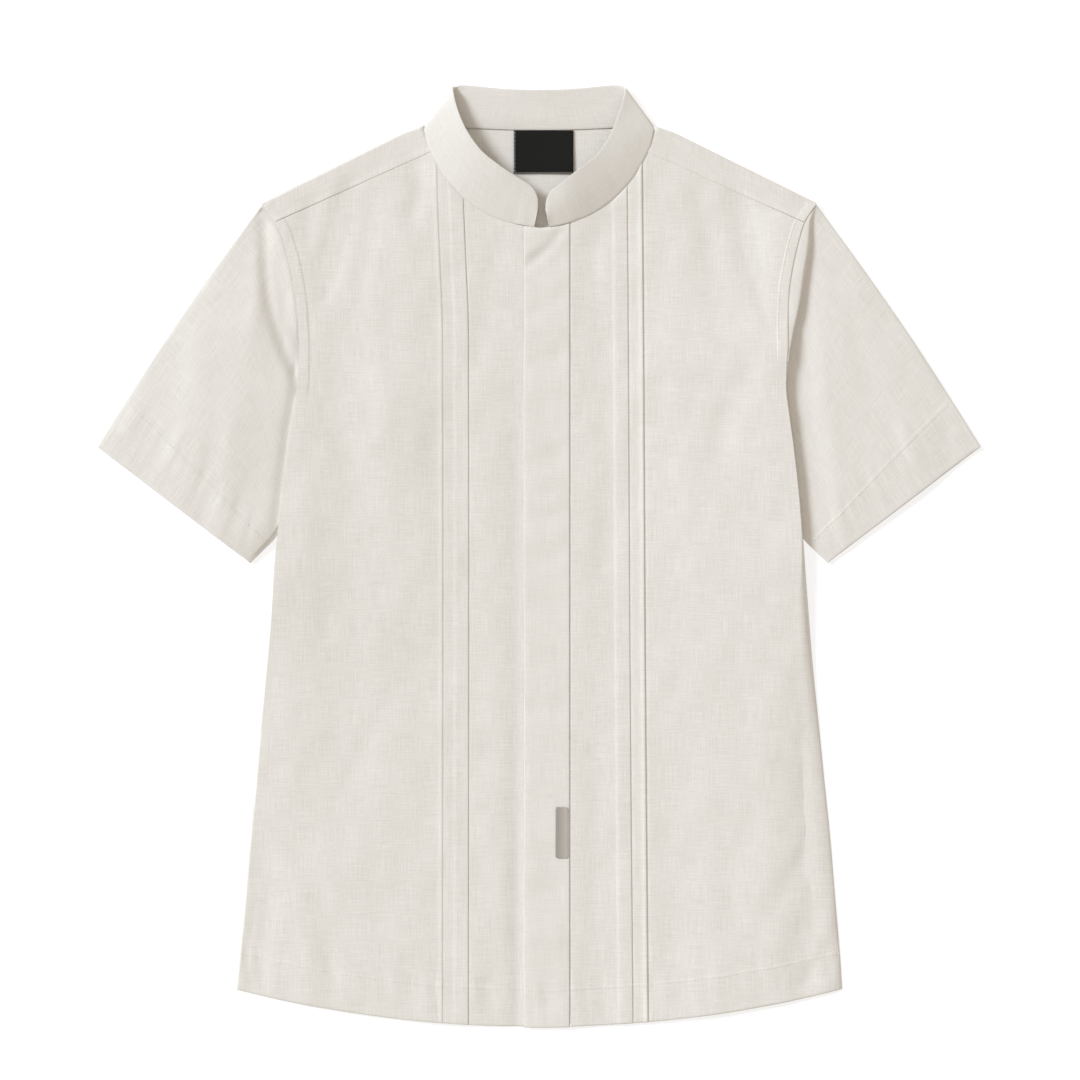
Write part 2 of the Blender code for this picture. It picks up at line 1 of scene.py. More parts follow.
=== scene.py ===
import math
import bpy
import numpy as np
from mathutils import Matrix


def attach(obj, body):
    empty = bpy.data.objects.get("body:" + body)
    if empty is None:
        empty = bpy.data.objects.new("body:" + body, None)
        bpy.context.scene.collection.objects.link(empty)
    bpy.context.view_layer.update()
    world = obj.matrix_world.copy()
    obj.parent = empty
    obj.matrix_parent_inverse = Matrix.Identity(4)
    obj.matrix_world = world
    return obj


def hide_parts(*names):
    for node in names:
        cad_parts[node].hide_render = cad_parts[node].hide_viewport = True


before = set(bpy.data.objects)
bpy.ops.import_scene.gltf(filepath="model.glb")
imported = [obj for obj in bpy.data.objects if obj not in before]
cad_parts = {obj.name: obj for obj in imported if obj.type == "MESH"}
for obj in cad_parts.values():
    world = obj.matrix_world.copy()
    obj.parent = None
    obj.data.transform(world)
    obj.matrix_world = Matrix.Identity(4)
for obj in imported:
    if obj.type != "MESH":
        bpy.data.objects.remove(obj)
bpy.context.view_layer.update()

print("shirt: cut and lie")

# The cut as it lies, in millimetres. x runs to the wearer's left from the centre line, drop runs
# down from the neck point of the shoulder, and level runs up from the table.
cut = {
    "hemDrop": 748.2, "hemCurve": 4.92e-4, "placketDroop": 0.5, "collarTop": 34.2,
    "neckHalfWidth": 95.2, "neckHalfHeight": 98.0, "neckCentre": -15.0,
    "backNeckDrop": 2.8, "backNeckRise": 3.9, "openingX": 2.5, "openingDip": 1.2, "openingWidth": 6.5,
    "shoulderX": 96.3, "shoulderDrop": -3.5, "shoulderSlope": 0.49,
    # the shoulder's line drops a little more at the neck and at its tip: how much, and between which x
    "shoulderNeckDrop": 2.4, "shoulderNeckX": (94, 116), "shoulderTipDrop": 2.2, "shoulderTipX": (205, 230),
    "yokeX": 88.6, "yokeDrop": 20.0, "yokeSlope": 0.456, "yokeBackDrop": 100.0,
    "placketEdge": -12.5, "placketSeam": 25.7, "seamGap": 0.3,
    # half width of the body's outline on either side: shoulder tip, armhole, side seam
    "outline": {
        "right": [(65, 230.6), (73, 223.6), (82, 217.1), (96, 212.1), (112, 207.6), (128, 204.3),
                  (144, 201.9), (163, 200.4), (186, 199.4), (217, 200.6), (260, 207.4),
                  (353, 218.3), (393, 221.6), (443, 226.6), (493, 231.6), (543, 235.7),
                  (592, 240.7), (642, 244.9), (692, 249.8), (716, 252.2), (760, 256.0)],
        "left": [(65, 230.4), (73, 224.8), (81, 220.0), (104, 213.3), (130, 208.3), (146, 206.9),
                 (162, 206.2), (180, 206.4), (199, 206.0), (220, 205.7), (246, 208.8),
                 (266, 211.4), (308, 216.2), (345, 219.5), (393, 223.3), (443, 227.4),
                 (493, 232.4), (543, 237.4), (592, 242.4), (642, 246.5), (692, 250.7), (716, 252.2),
                 (760, 256.0)],
    },
}
halfGap = cut["seamGap"] / 2   # pieces that meet at a seam each stop this far from it

# How the layers lie on each other, in millimetres
lie = {
    "cloth": 0.8,          # thickness of the linen
    "frontTop": 2.7,       # top of a front that lies flat on the back
    "flyRaise": 1.1,       # the fly above the right front
    "underFly": 0.4,       # how far the right front is pressed down under it
    "flySeamRaise": 0.9,   # the left front where it is sewn to the fly
    "middleSwell": 0.2, "sideSwell": 1.7, "neckRise": 1.3, "pressedSwell": 0.35, "mostSwell": 5.5,
    "sleeveLift": 3.5, "liftStart": {"right": (160, 238), "left": (146, 202)}, "liftEnd": (338, 470),
    "edgeFall": 1.6,       # how far the fronts slope down towards the side seams
    "sleeveFlat": 2.8, "liftFrom": {"right": -190, "left": -125}, "liftTo": -6,
    # drop, and how wide the body's edge rolls over there
    "curl": {"right": [(214, 0.3), (230, 0.1), (350, 0.1), (385, 0.6), (430, 1.8), (760, 2.4)],
             "left": [(180, 1.4), (335, 1.6), (410, 9.0), (760, 13.0)]},
    "curlStart": {"right": (214, 236), "left": (188, 204)},
    # drop, and how far the body's side stands up there: next to the wearer's left sleeve it throws a shadow
    "stand": {"right": [(70, 0.0), (120, 0.6), (340, 0.6), (372, 2.6), (400, 3.0), (540, 0.4), (560, 0.4)],
              "left": [(68, 0.4), (100, 3.6), (160, 4.6), (215, 3.0), (340, 2.6), (372, 3.4), (400, 3.2),
                       (540, 0.4), (560, 0.4)]},
    "neckSpread": 0.28,    # how far from the neck the cloth rises to it, as a share of the neck's size
    # distances from the centre line, or from the body's edge where they are minus
    "swellFrom": (15, 130), "leastSwell": 1.3, "leastFrom": (-30, -10), "standFrom": (-80, -5),
    "edgeFrom": (-70, 0), "edgeDrops": (390, 470),
    "waves": [(4, 40, 0.22, 14), (5, 110, 0.36, 8)], "wavesFrom": (20, 60),   # seed, size, height, count
    # pressed flat beside the fly, and pressed down under it: distances from its edge and from its seam
    "pressedFrom": (-26, -6), "pressedTo": (0, 29), "pressedShare": 0.35,
    "underFrom": (-1, 3), "underTo": (-4, 2), "flySeamFade": (28, 62),
    # a soft hollow along the fly's edge, deeper lower down
    "hollow": 1.1, "hollowAt": 5.5, "hollowWidth": 6.5, "hollowFrom": (120, 300),
    "hollowShares": (0.6, 0.7), "hollowDeeper": (420, 680),
}

# Soft creases: x, drop, x end, drop end, width, height (minus is a trough), sideways bow
frontCreases = [
    (-160, 55, -181, 128, 11, -1.9, 4), (-190, 70, -203, 110, 8, -1.2, 2), (-99, 33, -104, 68, 8, -1.4, 2),
    (-165, 170, -168, 330, 26, -1.2, 6), (-107, 150, -112, 360, 28, 1.3, -5),
    (-140, 62, -146, 120, 9, -1.0, 2), (-196, 330, -214, 560, 24, 0.8, 5), (-40, 230, -42, 700, 20, 0.8, 3),
    (-118, 300, -152, 560, 22, -0.5, 8), (171, 70, 192, 150, 11, -1.9, -4),
    (120, 110, 128, 330, 30, 1.3, 6), (98, 48, 106, 130, 10, -0.6, 2), (43, 112, 34, 180, 9, -1.3, 3),
    (150, 330, 158, 520, 28, 1.0, -5), (134, 60, 146, 120, 10, -0.7, -2), (228, 520, 219, 700, 13, -1.3, 4),
    (196, 470, 190, 690, 22, 1.0, -4), (-60, 560, -40, 720, 12, -0.9, 3),
    (-130, 420, -150, 640, 24, 0.9, 7), (-200, 600, -176, 690, 12, -0.9, 5),
    (-36, 110, -52, 190, 9, -0.8, 2), (-140, 120, -128, 230, 14, 0.8, -4),
    (-178, 235, -150, 300, 12, -0.8, 4), (110, 560, 104, 720, 20, -0.9, 4), (96, 215, 200, 222, 7, -0.4, 3),
    (40, 250, 36, 420, 9, 0.6, 2), (46, 520, 44, 730, 8, -0.7, 1), (100, 262, 190, 266, 6, 0.35, -3),
    (172, 205, 150, 270, 13, -0.9, -4), (140, 640, 148, 735, 16, 0.8, 3), (200, 640, 232, 600, 11, -1.3, 3),
    (-226, 600, -232, 700, 11, -0.9, 2), (-186, 640, -196, 735, 15, 0.8, 3), (226, 706, 240, 690, 9, -1.2, 0),
]


def softStep(start, end, at):
    share = np.clip((at - start) / (end - start), 0.0, 1.0)
    return share * share * (3.0 - 2.0 * share)


def mix(first, second, share):
    return first + (second - first) * share


def curveThrough(points, at):
    # a smooth curve through the points, which keeps its end values beyond them
    keys, values = (np.array(column, float) for column in zip(*points))
    last = len(keys) - 1
    before, after = np.maximum(np.arange(last + 1) - 1, 0), np.minimum(np.arange(last + 1) + 1, last)
    slope = (values[after] - values[before]) / (keys[after] - keys[before])
    at = np.asarray(at, float)
    row = np.clip(np.searchsorted(keys, at) - 1, 0, last - 1)
    span = keys[row + 1] - keys[row]
    share = np.clip((at - keys[row]) / span, 0.0, 1.0)
    square, cube = share ** 2, share ** 3
    return ((2 * cube - 3 * square + 1) * values[row] + (cube - 2 * square + share) * span * slope[row]
            + (3 * square - 2 * cube) * values[row + 1] + (cube - square) * span * slope[row + 1])


def place(x, drop, level):
    # millimetres on the shirt to metres in the frame
    x, drop, level = np.broadcast_arrays(x, drop, level)
    shift = (cut["hemDrop"] + cut["placketDroop"] - cut["collarTop"]) / 2
    return np.stack([x, shift - drop, level], axis=-1) * 0.001


def outerHalf(side, drop):
    return curveThrough(cut["outline"][side], drop)


def hemDrop(x):
    return cut["hemDrop"] - cut["hemCurve"] * x * x


def shoulderDrop(x):
    straight = cut["shoulderDrop"] + cut["shoulderSlope"] * (np.abs(x) - cut["shoulderX"])
    straight = straight + cut["shoulderNeckDrop"] * (1 - softStep(*cut["shoulderNeckX"], np.abs(x)))
    return straight + cut["shoulderTipDrop"] * softStep(*cut["shoulderTipX"], np.abs(x))


def yokeSeamDrop(x):
    return cut["yokeDrop"] + cut["yokeSlope"] * (np.abs(x) - cut["yokeX"])


def neckDrop(x):
    inside = np.maximum(0.0, 1.0 - (x / cut["neckHalfWidth"]) ** 2)
    return cut["neckCentre"] + cut["neckHalfHeight"] * np.sqrt(inside)


def openingDip(x):
    # the fly's top edge dips a little between the ends of the collar
    return cut["openingDip"] * np.exp(-((x - cut["openingX"]) / cut["openingWidth"]) ** 2)


def backNeckDrop(x):
    return cut["backNeckDrop"] - cut["backNeckRise"] * (x / cut["neckHalfWidth"]) ** 2


def creaseHeight(creases, x, drop):
    total = 0.0
    for startX, startDrop, endX, endDrop, width, height, bow in creases:
        runX, runDrop = endX - startX, endDrop - startDrop
        length = math.hypot(runX, runDrop)
        along = ((x - startX) * runX + (drop - startDrop) * runDrop) / length
        share = np.clip(along / length, 0.0, 1.0)
        aside = ((x - startX) * runDrop - (drop - startDrop) * runX) / length - 4 * bow * share * (1 - share)
        past = np.maximum(0.0, np.maximum(-along, along - length)) / 1.6
        total = total + height * np.exp(-(aside ** 2 + past ** 2) / width ** 2)
    return total


def unevenness(x, drop, seed, size, height, count=14):
    # many long soft waves at fixed slants, as in cloth that has been ironed and laid by hand
    draw = np.random.RandomState(seed)
    total = 0.0
    for _ in range(count):
        slant, length, phase = draw.uniform(0, math.pi), size * draw.uniform(0.6, 1.9), draw.uniform(0, 6.28)
        total = total + np.sin((x * math.cos(slant) + drop * math.sin(slant)) * 2 * math.pi / length + phase)
    return height * total / math.sqrt(count)


def sewnLine(along, aside, seed, depth=0.3, width=0.55):
    # a row of stitches pulls a groove into the cloth and puckers it a little on both sides
    draw = np.random.RandomState(seed)
    pucker = 0.0
    for length in sewing["puckers"]:
        pucker = pucker + np.sin(along * 2 * math.pi / length + draw.uniform(0, 6.28))
    return (-depth * np.exp(-(aside / width) ** 2)
            + sewing["puckerHeight"] * pucker * np.exp(-np.abs(aside) / 4.5)
            * (1 + 0.6 * np.sin(along / 17.0)))


def sideLift(side, x, drop):
    # the body lies over the sleeve's underarm edge, on the thickness of the sleeve
    along = softStep(*lie["liftStart"][side], drop) * (1 - softStep(*lie["liftEnd"], drop))
    across = softStep(lie["liftFrom"][side], lie["liftTo"], np.abs(x) - outerHalf(side, drop))
    return lie["sleeveLift"] * along * across


def neckRise(x, drop):
    away = np.hypot(x / cut["neckHalfWidth"], (drop - cut["neckCentre"]) / cut["neckHalfHeight"]) - 1
    return lie["neckRise"] * (1 - softStep(0, lie["neckSpread"], away))


def frontSwell(x, drop):
    # height of the open cloth of a front above its lowest lie
    away, creases = np.abs(x), creaseHeight(frontCreases, x, drop)
    fine, broad = lie["waves"]
    free = mix(lie["middleSwell"], lie["sideSwell"], softStep(*lie["swellFrom"], away)) + creases
    free = free + neckRise(x, drop) + unevenness(x, drop, *fine)
    free = free + unevenness(x, drop, *broad) * softStep(*lie["wavesFrom"], away)
    pressed = softStep(*lie["pressedFrom"], x - cut["placketEdge"])
    pressed = pressed * (1 - softStep(*lie["pressedTo"], x - cut["placketSeam"]))
    return mix(free, lie["pressedSwell"] + neckRise(x, drop) + lie["pressedShare"] * creases, pressed)


def frontLevel(side, x, drop):
    # top of a front without its tucks and seams
    beside = np.abs(x) - outerHalf(side, drop)
    least = lie["leastSwell"] * softStep(*lie["leastFrom"], beside)
    swell = np.minimum(lie["mostSwell"], np.maximum(least, frontSwell(x, drop)))
    stand = curveThrough(lie["stand"][side], drop) * softStep(*lie["standFrom"], beside)
    level = lie["frontTop"] + swell + sideLift(side, x, drop) + stand
    fromEdge, fromSeam = x - cut["placketEdge"], x - cut["placketSeam"]
    shallow, deeper = lie["hollowShares"]
    hollow = lie["hollow"] * softStep(*lie["hollowFrom"], drop)
    hollow = hollow * np.exp(-((fromEdge + lie["hollowAt"]) / lie["hollowWidth"]) ** 2)
    level = level - hollow * (shallow + deeper * softStep(*lie["hollowDeeper"], drop))
    level = level - (lie["edgeFall"] * softStep(*lie["edgeFrom"], beside) ** 2
                     * softStep(*lie["edgeDrops"], drop))
    under = softStep(*lie["underFrom"], fromEdge) * (1 - softStep(*lie["underTo"], fromSeam))
    level = level - lie["underFly"] * under
    if side == "left":
        level = level + lie["flySeamRaise"] * (1 - softStep(*lie["flySeamFade"], x))
    return level


def addMesh(name, points, faces, material):
    mesh = bpy.data.meshes.new(name)
    mesh.from_pydata(points, [], faces)
    mesh.validate()
    mesh.shade_smooth()
    mesh.materials.append(material)
    obj = bpy.data.objects.new(name, mesh)
    bpy.context.scene.collection.objects.link(obj)
    return obj


def clothMesh(name, points, grain, material, thickness, outwards=True, ring=False):
    # a sheet of quads from a grid of points on its outer face, thickened inwards; nan leaves a hole
    rows, columns = points.shape[:2]
    flat = points.reshape(-1, 3)
    kept = ~np.isnan(flat[:, 0])
    number = np.full(len(flat), -1)
    number[kept] = np.arange(kept.sum())
    number = number.reshape(rows, columns)
    across = np.arange(columns if ring else columns - 1)
    beside = (across + 1) % columns
    quads = np.stack([number[:-1][:, across], number[:-1][:, beside],
                      number[1:][:, beside], number[1:][:, across]], axis=-1).reshape(-1, 4)
    quads = quads[(quads >= 0).all(axis=1)]
    if not outwards:
        quads = quads[:, ::-1]
    obj = addMesh(name, flat[kept].tolist(), quads.tolist(), material)
    # position on the cloth in millimetres, for the weave: x across, y along the warp
    weave = obj.data.attributes.new("grain", "FLOAT_VECTOR", "POINT")
    weave.data.foreach_set("vector", grain.reshape(-1, 3)[kept].astype(np.float32).ravel())
    wall = obj.modifiers.new("wall", "SOLIDIFY")
    wall.thickness, wall.offset = thickness * 0.001, -1.0
    return obj


def flatGrain(x, drop, turn=0.0, layer=0.0):
    # where a point was on the flat cloth, turned so that y runs along the warp
    turn = math.radians(turn)
    across = x * math.cos(turn) + drop * math.sin(turn)
    along = drop * math.cos(turn) - x * math.sin(turn)
    return np.stack(np.broadcast_arrays(across, along, layer), axis=-1)


# Linen and thread: how they look
def nodeTools(name):
    material = bpy.data.materials.new(name)
    material.use_nodes = True
    tree = material.node_tree
    shader = tree.nodes["Principled BSDF"]

    def add(kind, inputs=(), **settings):
        node = tree.nodes.new(kind)
        for key, value in settings.items():
            setattr(node, key, value)
        for key, value in dict(inputs).items():
            socket = node.inputs[key]
            if isinstance(value, bpy.types.NodeSocket):
                tree.links.new(value, socket)
            else:
                socket.default_value = value
        return node.outputs[0]

    def calc(kind, first, second=0.0, third=0.0):
        return add("ShaderNodeMath", {0: first, 1: second, 2: third}, operation=kind)

    def blend(share, dark, light, start=0.0, end=1.0):
        ramp = add("ShaderNodeValToRGB", {"Fac": share})
        stops = ramp.node.color_ramp.elements
        stops[0].color, stops[1].color = dark, light
        stops[0].position, stops[1].position = start, end
        return ramp

    def wire(socket, name):
        tree.links.new(socket, shader.inputs[name])

    return material, shader, add, calc, blend, wire


linenLook = {
    "dark": (0.586, 0.556, 0.510, 1), "light": (0.826, 0.797, 0.750, 1),
    "thread": 0.62,            # mm from thread to thread
    "slubWidth": 0.8, "slubLength": 25.0, "slubShare": 0.47, "fleckShare": 0.29,
    "blotch": 20.0, "blotchShare": 0.13,
    "roughness": 0.88, "specular": 0.25, "sheen": 0.06, "sheenRoughness": 0.6,
    "weaveBump": 0.18, "weaveDepth": 0.00018, "slubBump": 0.28, "slubDepth": 0.00035,   # depths in metres
}


def linenMaterial(name, look):
    material, shader, add, calc, blend, wire = nodeTools(name)
    grain = add("ShaderNodeAttribute", attribute_name="grain").node.outputs["Vector"]

    def noise(scale, detail=1.0, roughness=0.5):
        spot = add("ShaderNodeMapping", {"Vector": grain, "Scale": scale})
        return add("ShaderNodeTexNoise", {"Vector": spot, "Scale": 1.0, "Detail": detail,
                                          "Roughness": roughness})

    def uneven(value, middle, share):
        return calc("MULTIPLY", calc("SUBTRACT", value, middle), share)

    thick, length = 1 / look["slubWidth"], 1 / look["slubLength"]
    warpSlub = noise((thick, length, 1.0))
    weftSlub = noise((length * 1.2, thick, 1.0))
    fineWarp = noise((1.5 * thick, 5.0 * length, 2.0))
    fineWeft = noise((5.0 * length, 1.5 * thick, 2.0))
    blotch = noise((1 / look["blotch"], 1 / look["blotch"], 0.5), 3.0, 0.6)
    threads = calc("ADD", uneven(warpSlub, 0.5, look["slubShare"]), uneven(weftSlub, 0.5, look["slubShare"]))
    fine = uneven(calc("ADD", fineWarp, fineWeft), 1.0, look["fleckShare"])
    cloud = uneven(blotch, 0.5, look["blotchShare"])
    tone = calc("ADD", calc("ADD", calc("ADD", threads, fine), cloud), 0.5)
    wire(blend(tone, look["dark"], look["light"], 0.1, 0.9), "Base Color")

    # plain weave: warp and weft threads pass over each other in turn
    split = add("ShaderNodeSeparateXYZ", {0: grain}).node
    turn = math.pi / look["thread"]
    across = calc("SINE", calc("MULTIPLY", split.outputs[0], turn))
    along = calc("SINE", calc("MULTIPLY", split.outputs[1], turn))
    over = add("ShaderNodeMapRange", {"Value": calc("MULTIPLY", across, along),
                                      "From Min": -0.25, "From Max": 0.25})
    warp, weft = calc("ABSOLUTE", along), calc("ABSOLUTE", across)
    height = add("ShaderNodeMapRange", {"Value": over, "To Min": warp, "To Max": weft})
    weave = add("ShaderNodeBump", {"Height": height, "Strength": look["weaveBump"],
                                   "Distance": look["weaveDepth"]})
    slub = add("ShaderNodeBump", {"Height": threads, "Strength": look["slubBump"],
                                  "Distance": look["slubDepth"],
                                  "Normal": weave})
    wire(slub, "Normal")
    shader.inputs["Roughness"].default_value = look["roughness"]
    shader.inputs["Specular IOR Level"].default_value = look["specular"]
    shader.inputs["Sheen Weight"].default_value = look["sheen"]
    shader.inputs["Sheen Roughness"].default_value = look["sheenRoughness"]
    return material


linen = linenMaterial("linenCloth", linenLook)
pressedLook = {**linenLook, "slubShare": 0.36, "fleckShare": 0.2, "blotchShare": 0.1, "weaveBump": 0.1}
pressedLinen = linenMaterial("linenPressed", pressedLook)   # the collar and the fly are pressed smoother

threadLook = {"colour": (0.84, 0.81, 0.755), "shade": 0.9, "roughness": 0.7, "twist": 3000.0}


def threadMaterial(name, look):
    material, shader, add, calc, blend, wire = nodeTools(name)
    spot = add("ShaderNodeTexCoord").node.outputs["Object"]
    twist = add("ShaderNodeTexNoise", {"Vector": spot, "Scale": look["twist"]})
    shade = tuple(look["shade"] * part for part in look["colour"])
    wire(blend(twist, (*shade, 1), (*look["colour"], 1)), "Base Color")
    wire(add("ShaderNodeBump", {"Height": twist, "Strength": 0.3, "Distance": 0.0001}), "Normal")
    shader.inputs["Roughness"].default_value = look["roughness"]
    return material


sewingThread = threadMaterial("sewingThread", threadLook)


# Stitches, laid along lines as small lozenges of thread

sewing = {
    "pitch": 2.9, "length": 2.35, "wide": 0.16, "tall": 0.12, "rings": 5, "sides": 6,
    "hemLift": 0.12, "lift": 0.1,   # how high a stitch lies above the cloth
    "puckers": [5.3, 7.1, 9.7, 14.0], "puckerHeight": 0.028,   # their lengths along the row
}


def stitchMesh(name, rowsOfPoints, material):
    corners, faces = [], []
    for line in rowsOfPoints:
        line = np.asarray(line)
        steps = np.linalg.norm(np.diff(line, axis=0), axis=1)
        run = np.concatenate([[0.0], np.cumsum(steps)]) * 1000
        count = int(run[-1] // sewing["pitch"])
        for number in range(count):
            middle = (number + 0.5) * run[-1] / count
            marks = middle + np.linspace(-0.5, 0.5, sewing["rings"]) * sewing["length"]
            spots = np.stack([np.interp(marks, run, line[:, axis]) for axis in range(3)], axis=-1)
            heading = spots[-1] - spots[0]
            heading = heading / (np.linalg.norm(heading) + 1e-12)
            aside = np.cross(heading, (0.0, 0.0, 1.0))
            aside = aside / (np.linalg.norm(aside) + 1e-12)
            first = len(corners)
            for ring, spot in enumerate(spots):
                share = math.sin(math.pi * (ring + 0.35) / (sewing["rings"] - 0.3)) ** 0.6
                for side in range(sewing["sides"]):
                    angle = 2 * math.pi * side / sewing["sides"]
                    out = aside * math.cos(angle) * sewing["wide"] * share * 0.001
                    up = np.array((0, 0, math.sin(angle) * sewing["tall"] * share + 0.1 * share)) * 0.001
                    corners.append(spot + out + up)
            sides = sewing["sides"]
            for ring in range(sewing["rings"] - 1):
                for side in range(sides):
                    a, b = first + ring * sides + side, first + ring * sides + (side + 1) % sides
                    faces.append((a, a + sides, b + sides, b))
            faces.append(tuple(first + side for side in range(sides)))
            faces.append(tuple(first + (sewing["rings"] - 1) * sides + side for side in range(sides))[::-1])
    obj = addMesh(name, [tuple(corner) for corner in corners], faces, material)
    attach(obj, "root")
    return obj


# The two fronts, with their pin tucks, hems and armhole bands

hem = {
    "depth": 32.0, "step": 0.22, "stepWidth": (-0.2, 1.4), "roll": 1.5,
    "ripple": 0.35, "rippleLength": 23.0, "rippleReach": 9.0,
    "seamIn": 1.2, "seamGroove": 0.07,   # the stitches' place inside the turned edge, and their depth
    "furrows": [9.7, 14.3, 21.0, 33.0], "furrowHeight": 0.15, "furrowReach": 26.0,
}
fronts = {
    "right": {
        "plain": [-18, -12, -6, 0, 4, 8, 11, 12.5, 14, 16, 19, 22, 26, 30, 34, 38, 42, 46, 50, 53, 56],
        # distance from the centre line and height of the tucks
        "tucks": [(57.2, 0), (58.1, -0.1), (58.6, -0.22), (58.85, 0.32), (59.3, 0.46), (60.2, 0.48),
                  (62.5, 0.42), (65.5, 0.4), (68.0, 0.4), (69.2, 0.4), (70.2, 0.26), (71.2, 0.1),
                  (72.4, 0.06), (75.0, 0.06), (77.6, 0.05), (79.0, 0.0), (79.7, -0.08), (80.05, 0.05),
                  (80.5, 0.3), (81.0, 0.4), (81.7, 0.36), (82.6, 0.22), (83.5, 0.08), (84.6, 0.0),
                  (86.5, 0.0)],
        "lean": [(20, 4.9), (60, 4.2), (110, 2.2), (170, 0.0), (760, 0.0)],
    },
    "left": {
        "plain": [26.0, 26.6, 27.6, 29, 31, 34, 37, 40, 43, 46, 49, 52, 55, 57],
        "tucks": [(62.0, 0), (62.9, 0.05), (63.8, 0.3), (64.8, 0.48), (66.5, 0.56), (68.5, 0.58),
                  (71.0, 0.56), (73.0, 0.52), (74.4, 0.5), (75.1, 0.48), (75.45, 0.32), (75.65, -0.12),
                  (76.1, -0.2), (76.9, 0.0), (79.0, 0.06), (82.0, 0.1), (84.0, 0.18), (85.2, 0.42),
                  (86.1, 0.7), (87.1, 0.82), (87.8, 0.76), (88.1, 0.45), (88.3, -0.15), (88.8, -0.25),
                  (89.6, 0.0), (92.0, 0.0)],
        "lean": [(20, -2.8), (165, -1.6), (476, 0.1), (725, 2.2), (760, 2.4)],
    },
    # columns close to the body's edge, by their distance from it, for the stitched band of the armhole
    "edgeColumns": [10.4, 9.7, 9.2, 8.8, 8.45, 8.1, 7.8, 7.5, 7.1, 6.4, 4.8, 2.6, 1.0, 0.55],
    "edgeStart": 2.0, "edgeShift": 0.3, "sideColumns": 36, "curlColumns": 9, "mainRows": 196,
    "topRows": [0.0, 0.25, 0.6, 1.1, 1.8, 3.0], "hemZone": 62.0,
    "hemRows": [58, 54, 50, 46, 42, 39, 37, 35.5, 34.4, 33.6, 33.0, 32.5, 32.0, 31.5, 31.0, 30.4, 29.5, 28,
                26, 23, 20, 17, 14, 11, 8, 5, 3, 1.6, 0.9, 0.45, 0.15, 0.0],
    "hemSeed": {"right": 31, "left": 32},
    # the armhole's band: where its stitches lie inside its edge, how deep they sink and where they end
    "bandWidth": 8.6, "bandStep": 0.35, "bandSeam": 0.6, "bandSeed": 21, "bandGroove": 0.08, "bandStart": 78,
    "bandEnd": {"right": 205, "left": 178}, "edgeGroove": {"right": 0.0, "left": 0.3},
    "topGroove": 0.15, "grooveWidth": 0.6,
}


def tuckHeight(side, x, drop):
    values = fronts[side]
    spots, heights = zip(*values["tucks"])
    height = np.interp(np.abs(x) - curveThrough(values["lean"], drop), spots, heights)
    top = np.where(np.abs(x) < cut["yokeX"], neckDrop(x), yokeSeamDrop(x))
    return height * softStep(0.0, 4.0, drop - top)


def hemRelief(fromHem, along, seed, depth):
    # the turned hem is thicker, with its row of stitches, and the fold at its end rolls down
    start, end = hem["stepWidth"]
    thick = hem["step"] * (1 - softStep(depth + start, depth + end, fromHem))
    stitched = sewnLine(along, fromHem - (depth - hem["seamIn"]), seed, hem["seamGroove"])
    share = np.clip(1 - fromHem / hem["roll"], 0, 1)
    wave = hem["ripple"] * np.sin(along / hem["rippleLength"] + seed) * np.exp(-fromHem / hem["rippleReach"])
    # the stitches gather the cloth a little, in soft furrows up and down from their row
    for number, length in enumerate(hem["furrows"]):
        furrow = np.sin((along + 0.12 * fromHem) * 2 * math.pi / length + seed * 1.7 + number)
        spread = np.where(fromHem > depth, 6.0 + 3 * number, hem["furrowReach"])
        fade = np.exp(-((fromHem - depth) / spread) ** 2)
        wave = wave + hem["furrowHeight"] * (0.5 + 0.25 * number) * furrow * fade
    return thick + stitched + wave - hem["roll"] * (1 - np.sqrt(np.maximum(0.0, 1 - share ** 2)))


def armholeBand(inside, drop, groove):
    # the armhole's turnings are sewn down inside: a raised band that ends at a row of stitches
    width = fronts["bandWidth"]
    band = fronts["bandStep"] * (1 - softStep(width - 0.2, width + 0.9, inside))
    return band + sewnLine(drop, inside - width + fronts["bandSeam"], fronts["bandSeed"], groove)


def frontSurface(side, x, drop):
    # the whole top of a front: lie, tucks, armhole band, seams and hem
    level = frontLevel(side, x, drop) + tuckHeight(side, x, drop)
    inside = outerHalf(side, drop) - np.abs(x)
    armhole = 1 - softStep(*lie["curlStart"][side], drop)
    level = level + armhole * armholeBand(inside, drop, fronts["bandGroove"])
    level = level - fronts["edgeGroove"][side] * armhole * np.exp(-(inside / fronts["grooveWidth"]) ** 2)
    top = np.where(np.abs(x) < cut["yokeX"], neckDrop(x), yokeSeamDrop(x))
    level = level - fronts["topGroove"] * np.exp(-((drop - top) / fronts["grooveWidth"]) ** 2)
    return level + hemRelief(hemDrop(x) - drop, x, fronts["hemSeed"][side], hem["depth"])


